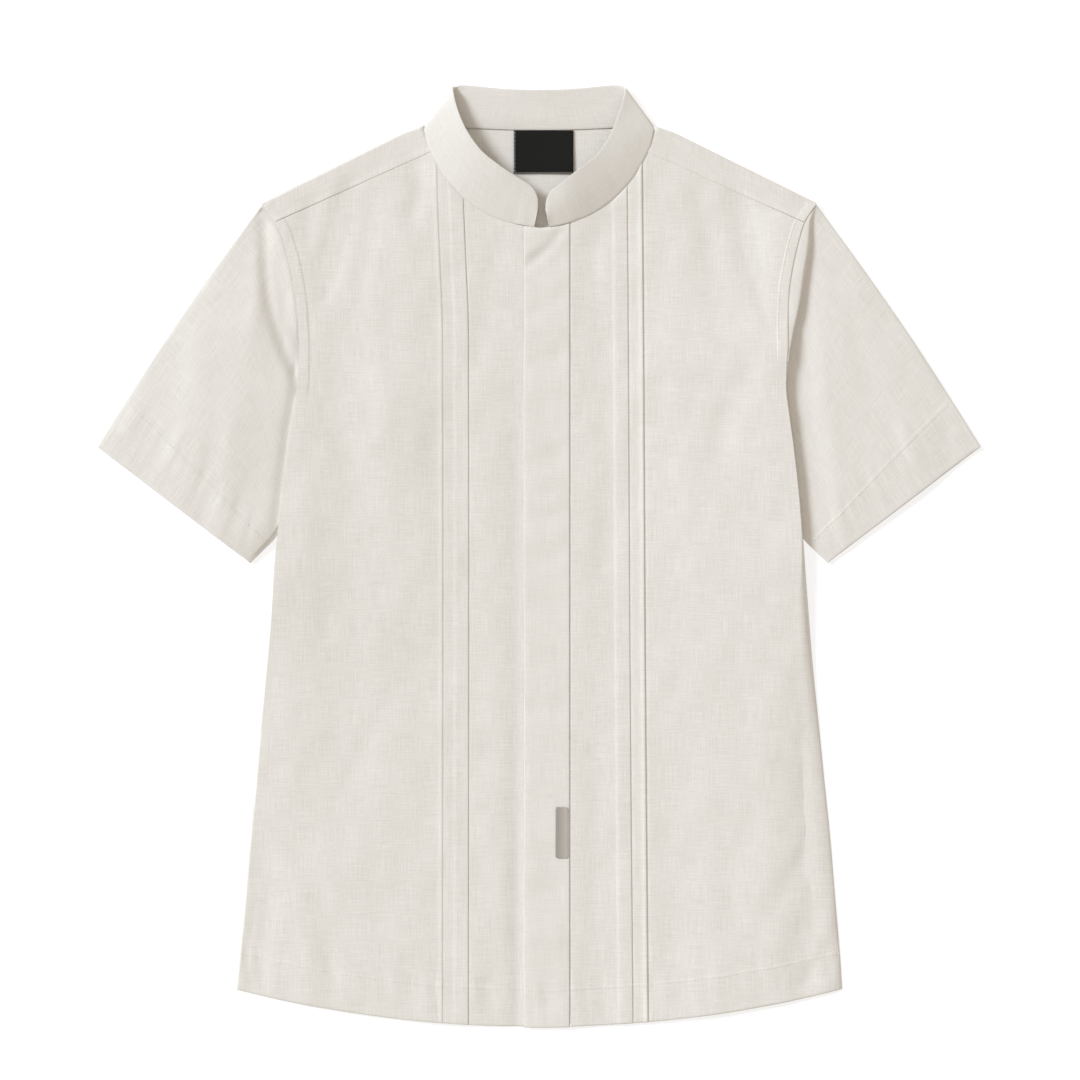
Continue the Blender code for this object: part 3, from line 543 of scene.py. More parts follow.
def makeFront(side):
    sign = -1 if side == "right" else 1
    values = fronts[side]
    tucks = [spot for spot, height in values["tucks"]]
    plain = values["plain"]
    edgeColumns = fronts["edgeColumns"]
    plainSide, curlCount = fronts["sideColumns"], fronts["curlColumns"]
    sideCount = plainSide + len(edgeColumns) + 1
    count = len(plain) + len(tucks) + sideCount + curlCount

    def columnX(number, drop):
        drop = np.asarray(drop, float)
        if number < len(plain):
            return np.full_like(drop, plain[number])
        lean = curveThrough(values["lean"], drop)
        number -= len(plain)
        if number < len(tucks):
            return tucks[number] + lean
        number -= len(tucks)
        curl = curveThrough(lie["curl"][side], drop)
        panelEnd = outerHalf(side, drop) - curl
        if number < plainSide:
            return mix(tucks[-1] + lean, panelEnd - edgeColumns[0] - fronts["edgeStart"],
                       (number + 1) / plainSide)
        if number < sideCount - 1:
            return panelEnd + fronts["edgeShift"] - edgeColumns[number - plainSide]
        if number == sideCount - 1:
            return panelEnd
        step = (number - sideCount + 1) / curlCount
        flat = mix(curl, halfGap, step)
        rolled = curl * (1 - math.cos(math.pi / 2 * (1 - step)))
        return outerHalf(side, drop) - mix(flat, rolled, softStep(*lie["curlStart"][side], drop))

    drops, across = [], []
    for number in range(count):
        top = 40.0
        for _ in range(14):
            x = float(columnX(number, top))
            top = float(neckDrop(x) if abs(x) < cut["yokeX"] else yokeSeamDrop(x)) + halfGap
            if side == "right":
                top = top + float(openingDip(-x))
        bottom = float(hemDrop(columnX(number, 716.0)))
        start, end = top + fronts["topRows"][-1], bottom - fronts["hemZone"]
        main = [mix(start, end, step / fronts["mainRows"]) for step in range(1, fronts["mainRows"] + 1)]
        column = [top + row for row in fronts["topRows"]] + main + [bottom - row for row in fronts["hemRows"]]
        drops.append(column)
        across.append(columnX(number, np.array(column)))
    drop, x = np.array(drops).T, sign * np.array(across).T
    level = frontSurface(side, x, drop)
    # below the armpit the cloth curls down to the side seam
    step = np.clip((np.arange(count) - (count - 1 - curlCount)) / curlCount, 0, 1)
    down = np.sin(np.pi / 2 * (1 - step))[None, :]
    curled = softStep(*lie["curlStart"][side], drop)
    lift = sideLift(side, x, drop)
    level = lift + (level - lift) * mix(1.0, down, curled)
    obj = clothMesh(f"front_{side}_cloth", place(x, drop, level), flatGrain(x, drop, 0.4 * sign), linen,
                    lie["cloth"], outwards=side == "right")
    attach(obj, "root")
    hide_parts(f"front_{side}")
    return obj


def frontSeams(side):
    # lines of stitches on a front: along the hem and the armhole band
    sign = -1 if side == "right" else 1
    start = 1.0 + (cut["placketSeam"] if side == "left" else -cut["placketEdge"])
    x = sign * np.linspace(start, 250.0, 160)
    drop = hemDrop(x) - hem["depth"] + hem["seamIn"]
    lines = [place(x, drop, frontSurface(side, x, drop) + sewing["hemLift"])]
    drop = np.linspace(fronts["bandStart"], fronts["bandEnd"][side], 60)
    x = sign * (outerHalf(side, drop) - fronts["bandWidth"] + fronts["bandSeam"])
    drop = np.maximum(drop, yokeSeamDrop(x) + 1.0)
    lines.append(place(x, drop, frontSurface(side, x, drop) + sewing["lift"]))
    return lines


print("shirt: fronts")
frontCloth = {side: makeFront(side) for side in ("right", "left")}
frontStitches = {side: stitchMesh(f"front_{side}_stitches", frontSeams(side), sewingThread)
                 for side in frontCloth}

# The back below the yoke

backPanel = {"columns": 90, "rows": 130, "shorter": 1.5, "inset": 2.1, "insetFrom": (200, 225)}


def makeBack():
    part = np.linspace(-1, 1, backPanel["columns"])[None, :]
    share = np.linspace(0, 1, backPanel["rows"])[:, None]
    bottom = hemDrop(part * 250.0) - backPanel["shorter"]
    drop = mix(cut["yokeBackDrop"] + halfGap, bottom, share)
    inset = mix(halfGap, backPanel["inset"], softStep(*backPanel["insetFrom"], drop))
    half = np.where(part < 0, outerHalf("right", drop), outerHalf("left", drop)) - inset
    x = part * half
    lift = np.where(part < 0, sideLift("right", x, drop), sideLift("left", x, drop))
    obj = clothMesh("back_cloth", place(x, drop, lift), flatGrain(x, drop, 0.3, 40.0), linen, lie["cloth"])
    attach(obj, "root")
    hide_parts("back")
    return obj


print("shirt: back")
makeBack()

# The yoke, folded over both shoulders

yoke = {
    "tipDrop": 63.4, "seamRise": 0.3, "foldWidth": 8.0,
    "neckLap": 1.2,   # it runs on under the edge of the collar
    "neckColumns": 44, "shoulderColumns": 44, "backRows": 34, "foldRows": 9, "frontRows": 22,
    # columns near the armhole and rows near the front seam, as shares of the way out to them
    "bandColumns": [0.923, 0.932, 0.936, 0.94, 0.9437, 0.948, 0.957, 0.97, 0.984, 0.992, 0.9965, 1.0],
    "seamRows": [0.9, 0.93, 0.955, 0.97, 0.982, 0.991, 1.0],
    "bandGroove": 0.14, "seamRoll": (0.25, 0.4), "armholeRoll": (0.3, 0.6),   # how deep and how wide
}


def makeYoke():
    tip = yoke["tipDrop"]
    shares = np.concatenate([np.linspace(0, 0.9, yoke["shoulderColumns"]) ** 0.9, yoke["bandColumns"]])
    end = {}   # where the front seam meets each armhole
    for side in ("right", "left"):
        drop = 88.0
        for _ in range(14):
            drop = float(yokeSeamDrop(outerHalf(side, drop)))
        end[side] = drop
    backRows, foldRows = yoke["backRows"], yoke["foldRows"]
    frontShares = np.concatenate([np.linspace(0, 0.86, yoke["frontRows"]), yoke["seamRows"]])
    rows = backRows + foldRows + len(frontShares)

    def shoulderColumn(side, part):
        sign = -1 if side == "right" else 1
        tipX = float(outerHalf(side, tip))
        foldX = mix(cut["shoulderX"], tipX, part)
        topLevel = float(frontLevel(side, sign * foldX, shoulderDrop(foldX) + yoke["foldWidth"]))
        radius = topLevel / 2
        dip = cut["shoulderNeckDrop"] * (1 - float(softStep(0, 0.15, part)))
        neckStart, tipStart = cut["shoulderDrop"] + radius + dip, tip + radius
        points, grain = [], []

        def add(neckSide, armSide, level, run, underCollar=0.0):
            neckX = mix(cut["shoulderX"] - 0.9, cut["yokeX"] - 2.0, underCollar)
            x = mix(neckX, float(outerHalf(side, armSide)) - halfGap, part)
            drop = mix(neckSide, armSide, part)
            points.append((sign * x, drop, level(sign * x, drop) if callable(level) else level))
            grain.append((sign * x, run + drop * 0, 80.0))

        back = cut["yokeBackDrop"] - halfGap
        for share in np.linspace(0, 1, backRows):
            add(mix(back, neckStart, share), mix(back, tipStart, share), 0.0,
                -back + share * (back - neckStart))
        for step in range(1, foldRows + 1):
            angle = math.pi * step / (foldRows + 1)
            reach = radius * math.sin(angle)
            add(neckStart - reach, tipStart - reach, radius * (1 - math.cos(angle)), 4 + step * 0.8)
        for share in frontShares:
            seam = yoke["seamRise"] * softStep(0.7, 0.95, share)

            def level(x, drop, share=share, seam=seam):
                fromSeam = (1 - share) * (yokeSeamDrop(x) - shoulderDrop(x))
                inside = float(outerHalf(side, max(drop, tip))) - abs(x)
                band = armholeBand(inside, drop, yoke["bandGroove"]) * softStep(0.02, 0.15, share)
                rolled = 0.0
                for away, (depth, width) in ((fromSeam, yoke["seamRoll"]), (inside, yoke["armholeRoll"])):
                    rolled += depth * math.exp(-(away / width) ** 2)
                return float(mix(topLevel, float(frontLevel(side, x, drop)), share) + seam + band - rolled)
            add(mix(neckStart, cut["yokeDrop"] - halfGap, share), mix(tipStart, end[side] - halfGap, share),
                level, 12 + share * 24, underCollar=share)
        return points, grain

    def neckColumn(x):
        drops = np.linspace(cut["yokeBackDrop"] - halfGap, float(backNeckDrop(x)) - yoke["neckLap"], backRows)
        hole = [(np.nan,) * 3] * (rows - backRows)
        return [(x, drop, 0.0) for drop in drops] + hole, [(x, -drop, 80.0) for drop in drops] + hole

    columns = [shoulderColumn("right", part) for part in shares[::-1]]
    columns += [neckColumn(x) for x in np.linspace(-1, 1, yoke["neckColumns"])[1:-1] * cut["shoulderX"]]
    columns += [shoulderColumn("left", part) for part in shares]
    points = np.array([column[0] for column in columns]).transpose(1, 0, 2)
    grain = np.array([column[1] for column in columns]).transpose(1, 0, 2)
    obj = clothMesh("yoke_cloth", place(*points.transpose(2, 0, 1)), grain, linen, lie["cloth"],
                    outwards=False)
    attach(obj, "root")
    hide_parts("yoke")
    return obj


print("shirt: yoke")
makeYoke()

# The fly that hides the buttons

fly = {
    # distance from its fold, and how far it rolls down there
    "columns": [(0.0, 0.7), (0.06, 0.45), (0.2, 0.32), (0.6, 0.25), (1.4, 0.17), (2.5, 0.1), (4, 0.03),
                (6, 0), (8, 0), (10.5, 0), (13, 0), (16, 0), (19, 0), (22, 0), (25, 0), (28, 0), (31, 0),
                (33.5, 0), (35.4, 0.0), (36.6, 0.02), (37.4, 0.08), (37.8, 0.25), (38.05, 0.6),
                (38.15, 1.3)],
    "rows": 260, "hemRows": 44, "hemSeed": 33, "thickness": 1.1, "topGroove": 0.3,
    "waves": (8, 26, 0.12), "ripples": (9, 44, 1.0, 6), "ripple": 0.34,   # seed, size, height, count
    "looseTo": (27, 38), "heldShare": 0.85, "creaseShare": 0.25,   # it is held flat beside its seam
    "puckers": [(19, 88, -7, 113, 4.5, -1.2, 1), (-6, 104, 14, 96, 5, 0.5, 0), (-9, 136, 12, 141, 7, -0.6, 1),
                (-8, 166, 18, 170, 6, 0.5, 1), (-10, 196, 14, 190, 8, -0.5, 0),
                (-6, 262, 16, 268, 8, -0.5, 0), (-8, 316, 14, 312, 7, 0.45, 0),
                (-8, 352, 12, 356, 8, -0.5, 0), (-2, 424, 18, 420, 8, -0.45, 0),
                (-8, 470, 10, 476, 7, 0.4, 0), (-8, 508, 14, 503, 9, -0.5, 0),
                (-6, 560, 16, 566, 8, 0.4, 1), (-8, 640, 14, 634, 9, -0.6, 1),
                (-6, 672, 16, 676, 7, 0.45, 0)],
}


def flySurface(x, drop):
    level = lie["frontTop"] + lie["flyRaise"] + lie["pressedSwell"] + neckRise(x, drop)
    loose = 1 - fly["heldShare"] * softStep(*fly["looseTo"], x - cut["placketEdge"])
    level = level + loose * (creaseHeight(fly["puckers"], x, drop) + unevenness(x, drop, *fly["waves"]))
    level = level + loose * fly["ripple"] * unevenness(x * 0.3, drop, *fly["ripples"])
    level = level + fly["creaseShare"] * creaseHeight(frontCreases, x, drop)
    fromTop = drop - neckDrop(x) - openingDip(x)
    level = level - fly["topGroove"] * np.exp(-(fromTop / fronts["grooveWidth"]) ** 2)
    return level + hemRelief(hemDrop(x) + cut["placketDroop"] - drop, x, fly["hemSeed"], hem["depth"])


def makeFly():
    offsets, rolls = (np.array(values, float) for values in zip(*fly["columns"]))
    share = np.linspace(0, 1, fly["rows"])
    nearHem = 1 - (1 - share[-12]) * np.linspace(1, 0, fly["hemRows"])[1:] ** 1.3
    share = np.concatenate([share[:-12], nearHem])[:, None]
    x = np.broadcast_to(cut["placketEdge"] + offsets, (len(share), len(offsets)))
    drop = mix(neckDrop(x) + cut["seamGap"] + openingDip(x), hemDrop(x) + cut["placketDroop"], share)
    # the pressed fold isn't quite straight
    wander = 0.25 * np.sin(drop / 61.0) + 0.15 * np.sin(drop / 23.0 + 1)
    x = x + wander * (1 - offsets / offsets[-1])
    level = flySurface(x, drop) - rolls
    obj = clothMesh("fly_cloth", place(x, drop, level), flatGrain(x, drop, 0.2, 120.0), pressedLinen,
                    fly["thickness"], outwards=False)
    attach(obj, "root")
    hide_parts("placket")
    x = np.linspace(cut["placketEdge"] + 2, cut["placketSeam"] - 1, 30)
    drop = hemDrop(x) + cut["placketDroop"] - hem["depth"] + hem["seamIn"]
    stitches = stitchMesh("fly_stitches", [place(x, drop, flySurface(x, drop) + sewing["hemLift"])],
                          sewingThread)
    return obj


print("shirt: fly")
makeFly()

# The sleeves, flattened tubes

sleeves = {
    "hemOuter": (367.3, 266.0), "hemInner": (239.9, 362.7), "bow": 3.0, "mostSwell": 8.0,
    "armhole": (63.6, 215.0),   # drops of its ends
    # how far it runs in under the body at the armpit, and from which drop to which
    "tuckUnder": {"right": (4.0, 194, 212), "left": (8.5, 181, 196)},
    "underarm": [(199.0, 215.0), (202.0, 239.0), (201.5, 262.0), (201.5, 285.0), (205.0, 308.0),
                 (211.5, 328.0), (219.6, 342.5), (229.3, 352.5), (239.9, 362.7)],
    "length": 175.0, "grainLength": 250.0, "rightRoll": 0.05,   # the right sleeve has only a short one
    "rows": 74, "upperColumns": 74, "lowerColumns": 30, "foldColumns": 8, "hemDepth": 33.0,
    "hemSeed": {"right": 41, "left": 42}, "foldShare": 0.06,   # the hem fades out into the folded edges
    "rollRows": [0.0, 0.04, 0.1, 0.2, 0.32, 0.46, 0.6, 0.72, 0.82, 0.9, 0.96, 1.0],
    "fallRows": [0.0012, 0.0024, 0.0038, 0.006, 0.01, 0.015],
    "hemRows": [0.0, 0.4, 0.9, 1.5, 3.5, 6, 9, 13, 17, 21, 25, 28, 30, 31, 31.6, 32.2, 32.8, 33.4,
                34.2, 35.4],
    # the wearer's left sleeve rolls over beside its seam: how far the roll reaches at each drop
    "roll": [(66, 0.6), (75, 3.3), (88, 7.5), (102, 10.0), (120, 10.8), (138, 10.6), (154, 8.7), (170, 5.2),
             (184, 2.1), (199, 0.5), (214, 0.2)],
    # where across the sleeve its swell is highest, how high, and the distances from the body where it starts
    "ridge": {"right": (0.62, 7.4), "left": (0.45, 1.9)}, "swellFrom": {"right": (2, 17), "left": (4, 26)},
    "waves": [(14, 50, 0.2), (15, 24, 0.05)],
    # the wearer's right sleeve meets its seam down to these drops, with a ridge (height, distance, width)
    # and a groove (depth, width) beside it, and below them it dips (depth, width) beside the body
    "seamTo": (150, 205), "seamFade": (0.5, 18), "seamStep": 0.1, "seamRidge": (0.1, 3, 2.5),
    "seamGroove": (0.5, 0.7), "held": 0.3, "dip": (2.3, 6.5), "dipFade": (6, 75), "dipTo": (325, 368),
    "valley": [(-228, 84, -204, 202, 5.5, -1.8, -8)], "valleyFrom": (-2, 4),
    # the left one falls off the roll, softly at first and then steeply, and flattens out beside it
    "fall": (2.8, 0.8), "fallDrops": (105, 160), "rollTo": (196, 208), "flatTo": (6, 34),
    "shoulderTo": (64, 84), "shoulderFade": (0, 22),
    "creases": {
        "right": [(-300, 205, -330, 292, 14, -0.5, 4), (-262, 110, -282, 190, 18, 0.8, -4),
                  (-283, 215, -306, 300, 14, 0.5, 4), (-232, 100, -236, 160, 7, 0.9, 1),
                  (-250, 250, -262, 330, 12, 0.9, 2), (-330, 215, -352, 262, 10, 0.7, 2),
                  (-268, 262, -280, 330, 9, -0.8, -2)],
        "left": [(262, 150, 300, 270, 22, 1.2, 5), (330, 235, 345, 275, 14, -0.9, 2),
                 (252, 130, 272, 220, 10, -0.7, 4), (238, 230, 252, 330, 12, 0.8, 3),
                 (280, 200, 296, 290, 11, -0.7, 3), (312, 190, 330, 250, 14, 0.8, 3)],
    },
}


def armholePoint(side, share):
    drop = mix(*sleeves["armhole"], share)
    under, start, end = sleeves["tuckUnder"][side]
    return outerHalf(side, drop) - (1.0 + under * softStep(start, end, drop)), drop


def sleevePlan(side, along, across):
    # a point of the sleeve as it lies: a patch between the armhole, the hem and both folds
    hemOuter, hemInner = sleeves["hemOuter"], sleeves["hemInner"]
    tip, pit = armholePoint(side, 0.0), armholePoint(side, 1.0)
    keys = np.linspace(0, 1, len(sleeves["underarm"]))
    bow = sleeves["bow"] * np.sin(np.pi * along)
    length = math.dist([float(v) for v in tip], hemOuter)
    turn = ((hemOuter[1] - float(tip[1])) / length, -(hemOuter[0] - float(tip[0])) / length)
    shifted = (pit[0] - sleeves["underarm"][0][0]) * (1 - along) ** 3
    found = []
    for axis in range(2):
        arm = armholePoint(side, across)[axis]
        cuff = mix(hemOuter[axis], hemInner[axis], across)
        outer = mix(tip[axis], hemOuter[axis], along) + bow * turn[axis]
        inner = curveThrough(list(zip(keys, [p[axis] for p in sleeves["underarm"]])), along)
        inner = inner + (shifted if axis == 0 else 0.0)
        ruled, folds = mix(arm, cuff, along), mix(outer, inner, across)
        corners = mix(mix(tip[axis], hemOuter[axis], along), mix(pit[axis], hemInner[axis], along), across)
        found.append(ruled + folds - corners)
    return found


def rollReach(drop):
    return curveThrough(sleeves["roll"], drop)


def besideRight(free, seam, x, drop, outside):
    # above the armpit the sleeve meets its seam, and lower down it meets the body's edge and dips beside it
    above = 1 - softStep(*sleeves["seamTo"], drop)
    (high, away, wide), (deep, narrow), (dip, dipWidth) = (
        sleeves["seamRidge"], sleeves["seamGroove"], sleeves["dip"])
    level = mix(free, seam - sleeves["seamStep"], (1 - softStep(*sleeves["seamFade"], outside)) * above)
    ridge = high * np.exp(-((outside - away) / wide) ** 2)
    level = level + (ridge - deep * np.exp(-(outside / narrow) ** 2)) * above
    held = frontLevel("right", -outerHalf("right", drop), drop) - sleeves["held"]
    held = held - dip * np.exp(-(np.maximum(outside, 0) / dipWidth) ** 2)
    near = ((1 - softStep(*sleeves["dipFade"], outside)) * (1 - above)
            * (1 - softStep(*sleeves["dipTo"], drop)))
    valley = creaseHeight(sleeves["valley"], -x, drop) * softStep(*sleeves["valleyFrom"], outside)
    return mix(level, held, near) + valley


def besideLeft(free, seam, drop, outside):
    # the sleeve rolls over beside its seam and falls from the end of the roll
    reach = rollReach(drop)
    soft = mix(*sleeves["fall"], softStep(*sleeves["fallDrops"], drop))
    onRoll = 1 - softStep(-0.4, 0.6, (outside - reach) / soft)
    share = np.clip(outside / (reach + 0.01), 0, 1)
    ridge = seam - 0.25 + 0.5 * np.sin(np.pi * share * 0.8) * softStep(1.0, 6.0, reach)
    ridge = ridge - 0.5 * softStep(0.8, 1.0, share) * softStep(0.5, 5.0, reach)
    shoulder = 1 - softStep(*sleeves["shoulderTo"], drop)
    valley = mix(free, lie["sleeveFlat"], (1 - softStep(*sleeves["flatTo"], outside)))
    valley = mix(valley, ridge, shoulder * (1 - softStep(*sleeves["shoulderFade"], outside)))
    return mix(valley, ridge, onRoll * (1 - softStep(*sleeves["rollTo"], drop)))


def sleeveTop(side, along, across):
    sign = -1 if side == "right" else 1
    x, drop = sleevePlan(side, along, across)
    outside = x - outerHalf(side, drop)
    armDrop = armholePoint(side, across)[1]
    seam = frontLevel(side, sign * outerHalf(side, armDrop), armDrop)
    highest, rise = sleeves["ridge"][side]
    arch = np.where(across < highest, across / highest, (1 - across) / (1 - highest))
    swell = rise * np.sin(np.pi / 2 * np.clip(arch, 0, 1)) * softStep(0.0, 0.35, along)
    swell = (swell * (1 - 0.45 * softStep(0.75, 1.0, along))
             + creaseHeight(sleeves["creases"][side], sign * x, drop))
    for wave in sleeves["waves"]:
        swell = swell + unevenness(sign * x, drop, *wave)
    swell = np.clip(swell, 0.0, sleeves["mostSwell"])
    free = lie["sleeveFlat"] + swell * softStep(*sleeves["swellFrom"][side], outside)
    if side == "right":
        return besideRight(free, seam, x, drop, outside)
    return besideLeft(free, seam, drop, outside)


def sleeveHem(side, along, run):
    return hemRelief((1 - along) * sleeves["length"], run, sleeves["hemSeed"][side], sleeves["hemDepth"])


def makeSleeve(side):
    sign = -1 if side == "right" else 1
    upper = np.linspace(0, 1, sleeves["upperColumns"])
    # where each line from the armhole crosses the end of the roll
    crossing = np.zeros(len(upper))
    probe = np.linspace(0, 0.3, 400)
    for number, share in enumerate(upper):
        x, drop = sleevePlan(side, probe, np.full_like(probe, share))
        beyond = x - outerHalf(side, drop) - rollReach(drop)
        hit = np.nonzero(beyond > 0)[0]
        crossing[number] = probe[hit[0]] if len(hit) else 0.02
    crossing = np.convolve(np.pad(crossing, 2, mode="edge"), np.ones(5) / 5, mode="valid")
    if side == "right":
        crossing[:] = sleeves["rightRoll"]
    rollRows, fallRows = np.array(sleeves["rollRows"]), np.array(sleeves["fallRows"])
    hemRows, rest = np.array(sleeves["hemRows"]) / sleeves["length"], np.linspace(0, 1, sleeves["rows"])[1:-1]

    def station(share):
        edge = np.interp(share, upper, crossing)
        middle = mix(edge + fallRows[-1], 1 - hemRows[-1], rest)
        return np.concatenate([edge * rollRows, edge + fallRows, middle, 1 - hemRows[::-1]])

    rings, grains = [], []
    for along in np.array([station(share) for share in upper]).T:
        x, drop = sleevePlan(side, along, upper)
        seamWidth = np.hypot(x[-1] - x[0], drop[-1] - drop[0])
        fade = softStep(0.0, sleeves["foldShare"], upper) * softStep(0.0, sleeves["foldShare"], 1 - upper)
        top = sleeveTop(side, along, upper) + sleeveHem(side, along, upper * seamWidth) * fade
        radiusStart, radiusEnd = top[0] / 2, top[-1] / 2
        startShare, endShare = radiusStart / seamWidth, 1 - radiusEnd / seamWidth
        inner = np.clip(upper, startShare, endShare)
        points, grain = [], []

        def add(at, share, level, layer=160.0):
            a, b = sleevePlan(side, at, share)
            points.append((sign * float(a), float(b), float(level)))
            grain.append((share * seamWidth, at * sleeves["grainLength"], layer))

        def fold(fromTop, at, edge, radius):
            for step in range(1, sleeves["foldColumns"]):
                angle = math.pi * step / sleeves["foldColumns"]
                reach = radius * math.sin(angle) / seamWidth
                rise = math.cos(angle) if fromTop else -math.cos(angle)
                add(at, edge + (reach if fromTop else -reach), radius * (1 + rise))

        for at, share, level in zip(along, inner, top):
            add(at, share, level)
        fold(True, along[-1], endShare, radiusEnd)
        for share in np.linspace(endShare, startShare, sleeves["lowerColumns"]):
            add(float(np.interp(share, upper, along)), share, 0.0, layer=200.0)
        fold(False, along[0], startShare, radiusStart)
        rings.append(points)
        grains.append(grain)
    points, grain = np.array(rings), np.array(grains)
    obj = clothMesh(f"sleeve_{side}_cloth", place(*points.transpose(2, 0, 1)), grain, linen, lie["cloth"],
                    outwards=side == "left", ring=True)
    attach(obj, "root")
    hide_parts(f"sleeve_{side}")
    share = np.linspace(0.03, 0.97, 90)
    along = np.full_like(share, 1 - (sleeves["hemDepth"] - hem["seamIn"]) / sleeves["length"])
    x, drop = sleevePlan(side, along, share)
    seamWidth = np.hypot(x[-1] - x[0], drop[-1] - drop[0]) / 0.94
    level = sleeveTop(side, along, share) + sleeveHem(side, along, share * seamWidth) + sewing["hemLift"]
    stitches = stitchMesh(f"sleeve_{side}_stitches", [place(sign * x, drop, level)], sewingThread)
    return obj


print("shirt: sleeves")
for side in ("right", "left"):
    makeSleeve(side)

# The band collar, standing at the front and folded flat behind

collar = {
    # from its front end over the side fold to the centre back: the seam's x and drop, how far the band has
    # turned to lie on the table, and its top edge's x, drop and level
    "rows": [
        (6.3, 83.6, 0.0, 3.0, 65.5, 10.4), (8.2, 83.4, 0.0, 3.4, 59.0, 11.6),
        (11.4, 82.8, 0.0, 5.6, 52.6, 12.8), (16.0, 82.0, 0.0, 9.5, 47.8, 13.8),
        (30.0, 78.4, 0.0, 20.0, 40.6, 15.8), (46.5, 71.0, 0.0, 34.0, 31.0, 17.4),
        (63.6, 58.4, 0.0, 48.0, 19.5, 17.6), (79.0, 40.8, 0.0, 60.0, 2.4, 16.4),
        (90.6, 20.0, 0.0, 68.3, -17.0, 13.8), (95.0, 5.0, 0.0, 71.3, -28.0, 11.0),
        (95.9, 0.8, 0.35, 71.6, -32.2, 7.6), (94.6, -0.6, 0.8, 69.4, -33.4, 4.4),
        (88.0, -1.2, 1.0, 64.0, -34.2, 3.0), (74.0, -0.1, 1.0, 52.0, -33.4, 3.0),
        (52.0, 1.1, 1.0, 36.0, -31.6, 4.2), (26.0, 2.1, 1.0, 18.0, -30.4, 5.6),
        (0.0, 2.4, 1.0, 0.0, -30.1, 6.2),
    ],
    "finer": 9, "across": 18, "bulge": 1.2, "bulgeFrom": (-20, 10), "thickness": 1.3, "depth": 37.0,
    "backLevel": 0.6, "backShare": 0.7, "seamRaise": {"right": 0.15, "left": 0.5},
    "edgeShare": {"right": 1.0, "left": 0.72}, "edgeFrom": (20, 60), "shiftTo": (0, 40),
    # x of the top edge, and how much lower it lies there than in the rows above
    "lower": {"right": [(2, 2.0), (10, 2.2), (58, 2.4), (67, 2.4), (71, 0.0)],
              "left": [(2, 4.2), (5, 5.4), (10, 6.0), (21, 6.3), (29, 5.5), (50, 4.6), (60, 3.2), (66, 1.0),
                       (70, 0.0)]},
}


def makeCollar():
    fields = list(zip(*collar["rows"]))
    keys = list(range(len(collar["rows"])))
    at = np.linspace(0, len(keys) - 1, (len(keys) - 1) * collar["finer"] + 1)
    half = np.stack([curveThrough(list(zip(keys, field)), at) for field in fields])
    stations = []
    for sign, rows in ((-1, half), (1, half[:, -2::-1])):
        side = "right" if sign < 0 else "left"
        for seamX, seamDrop, turned, edgeX, edgeDrop, edgeLevel in rows.T:
            edgeDrop = edgeDrop + (1 - turned) * float(curveThrough(collar["lower"][side], edgeX))
            shift = cut["openingX"] * (1 - float(softStep(*collar["shiftTo"], seamX)))
            x = sign * seamX + shift
            onFly = float(softStep(-10, 0, x - cut["placketEdge"]) * softStep(-8, 0, cut["placketSeam"] - x))
            flyTop = lie["frontTop"] + lie["flyRaise"] + lie["pressedSwell"] + float(neckRise(x, seamDrop))
            below = mix(float(frontLevel(side, x, seamDrop)), flyTop, onFly)
            seamLevel = mix(below + collar["seamRaise"][side], collar["backLevel"], turned)
            aside = float(softStep(*collar["edgeFrom"], abs(edgeX)) * (1 - turned))
            raised = mix(mix(1.0, collar["edgeShare"][side], aside), collar["backShare"], turned)
            stations.append(((x, seamDrop, seamLevel), (sign * edgeX + shift, edgeDrop, edgeLevel * raised)))
    stations = np.array(stations)
    share = np.linspace(0, 1, collar["across"])[None, :, None]
    points = mix(stations[:, :1], stations[:, 1:], share)
    points[..., 2] += (collar["bulge"] * softStep(*collar["bulgeFrom"], points[..., 1])
                       * np.sin(np.pi * share[..., 0]))
    run = np.concatenate([[0], np.cumsum(np.linalg.norm(np.diff(stations.mean(axis=1), axis=0), axis=1))])
    grain = np.stack(np.broadcast_arrays(run[:, None], share[..., 0] * collar["depth"], 240.0), axis=-1)
    obj = clothMesh("collar_cloth", place(*points.transpose(2, 0, 1)), grain, pressedLinen,
                    collar["thickness"])
    rounded = obj.modifiers.new("rounded", "BEVEL")
    rounded.width, rounded.segments = 0.0005, 2
    rounded.limit_method, rounded.angle_limit = "ANGLE", math.radians(50)
    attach(obj, "root")
    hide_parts("collar")
    return obj


print("shirt: collar")
makeCollar()

# The woven neck label

labelThreadLook = {**threadLook, "colour": (0.55, 0.54, 0.51)}
label = {
    "left": -21.0, "right": 28.6, "top": 3.2, "bottom": 38.8, "level": 1.5, "thickness": 0.5, "curl": 0.5,
    "columns": 60, "rows": 44, "dark": (0.006, 0.006, 0.0055, 1), "light": (0.017, 0.017, 0.0155, 1),
    "roughness": 0.8, "specular": 0.12,
}


def labelMaterial(name):
    material, shader, add, calc, blend, wire = nodeTools(name)
    grain = add("ShaderNodeAttribute", attribute_name="grain").node.outputs["Vector"]
    lines = add("ShaderNodeTexWave", {"Vector": grain, "Scale": 1.6, "Distortion": 0.4},
                bands_direction="DIAGONAL")
    cloud = add("ShaderNodeTexNoise", {"Vector": grain, "Scale": 1.2, "Detail": 3.0})
    tone = calc("ADD", calc("MULTIPLY", lines, 0.4), calc("MULTIPLY", cloud, 0.6))
    wire(blend(tone, label["dark"], label["light"]), "Base Color")
    wire(add("ShaderNodeBump", {"Height": lines, "Strength": 0.3, "Distance": 0.0001}), "Normal")
    shader.inputs["Roughness"].default_value = label["roughness"]
    shader.inputs["Specular IOR Level"].default_value = label["specular"]
    return material


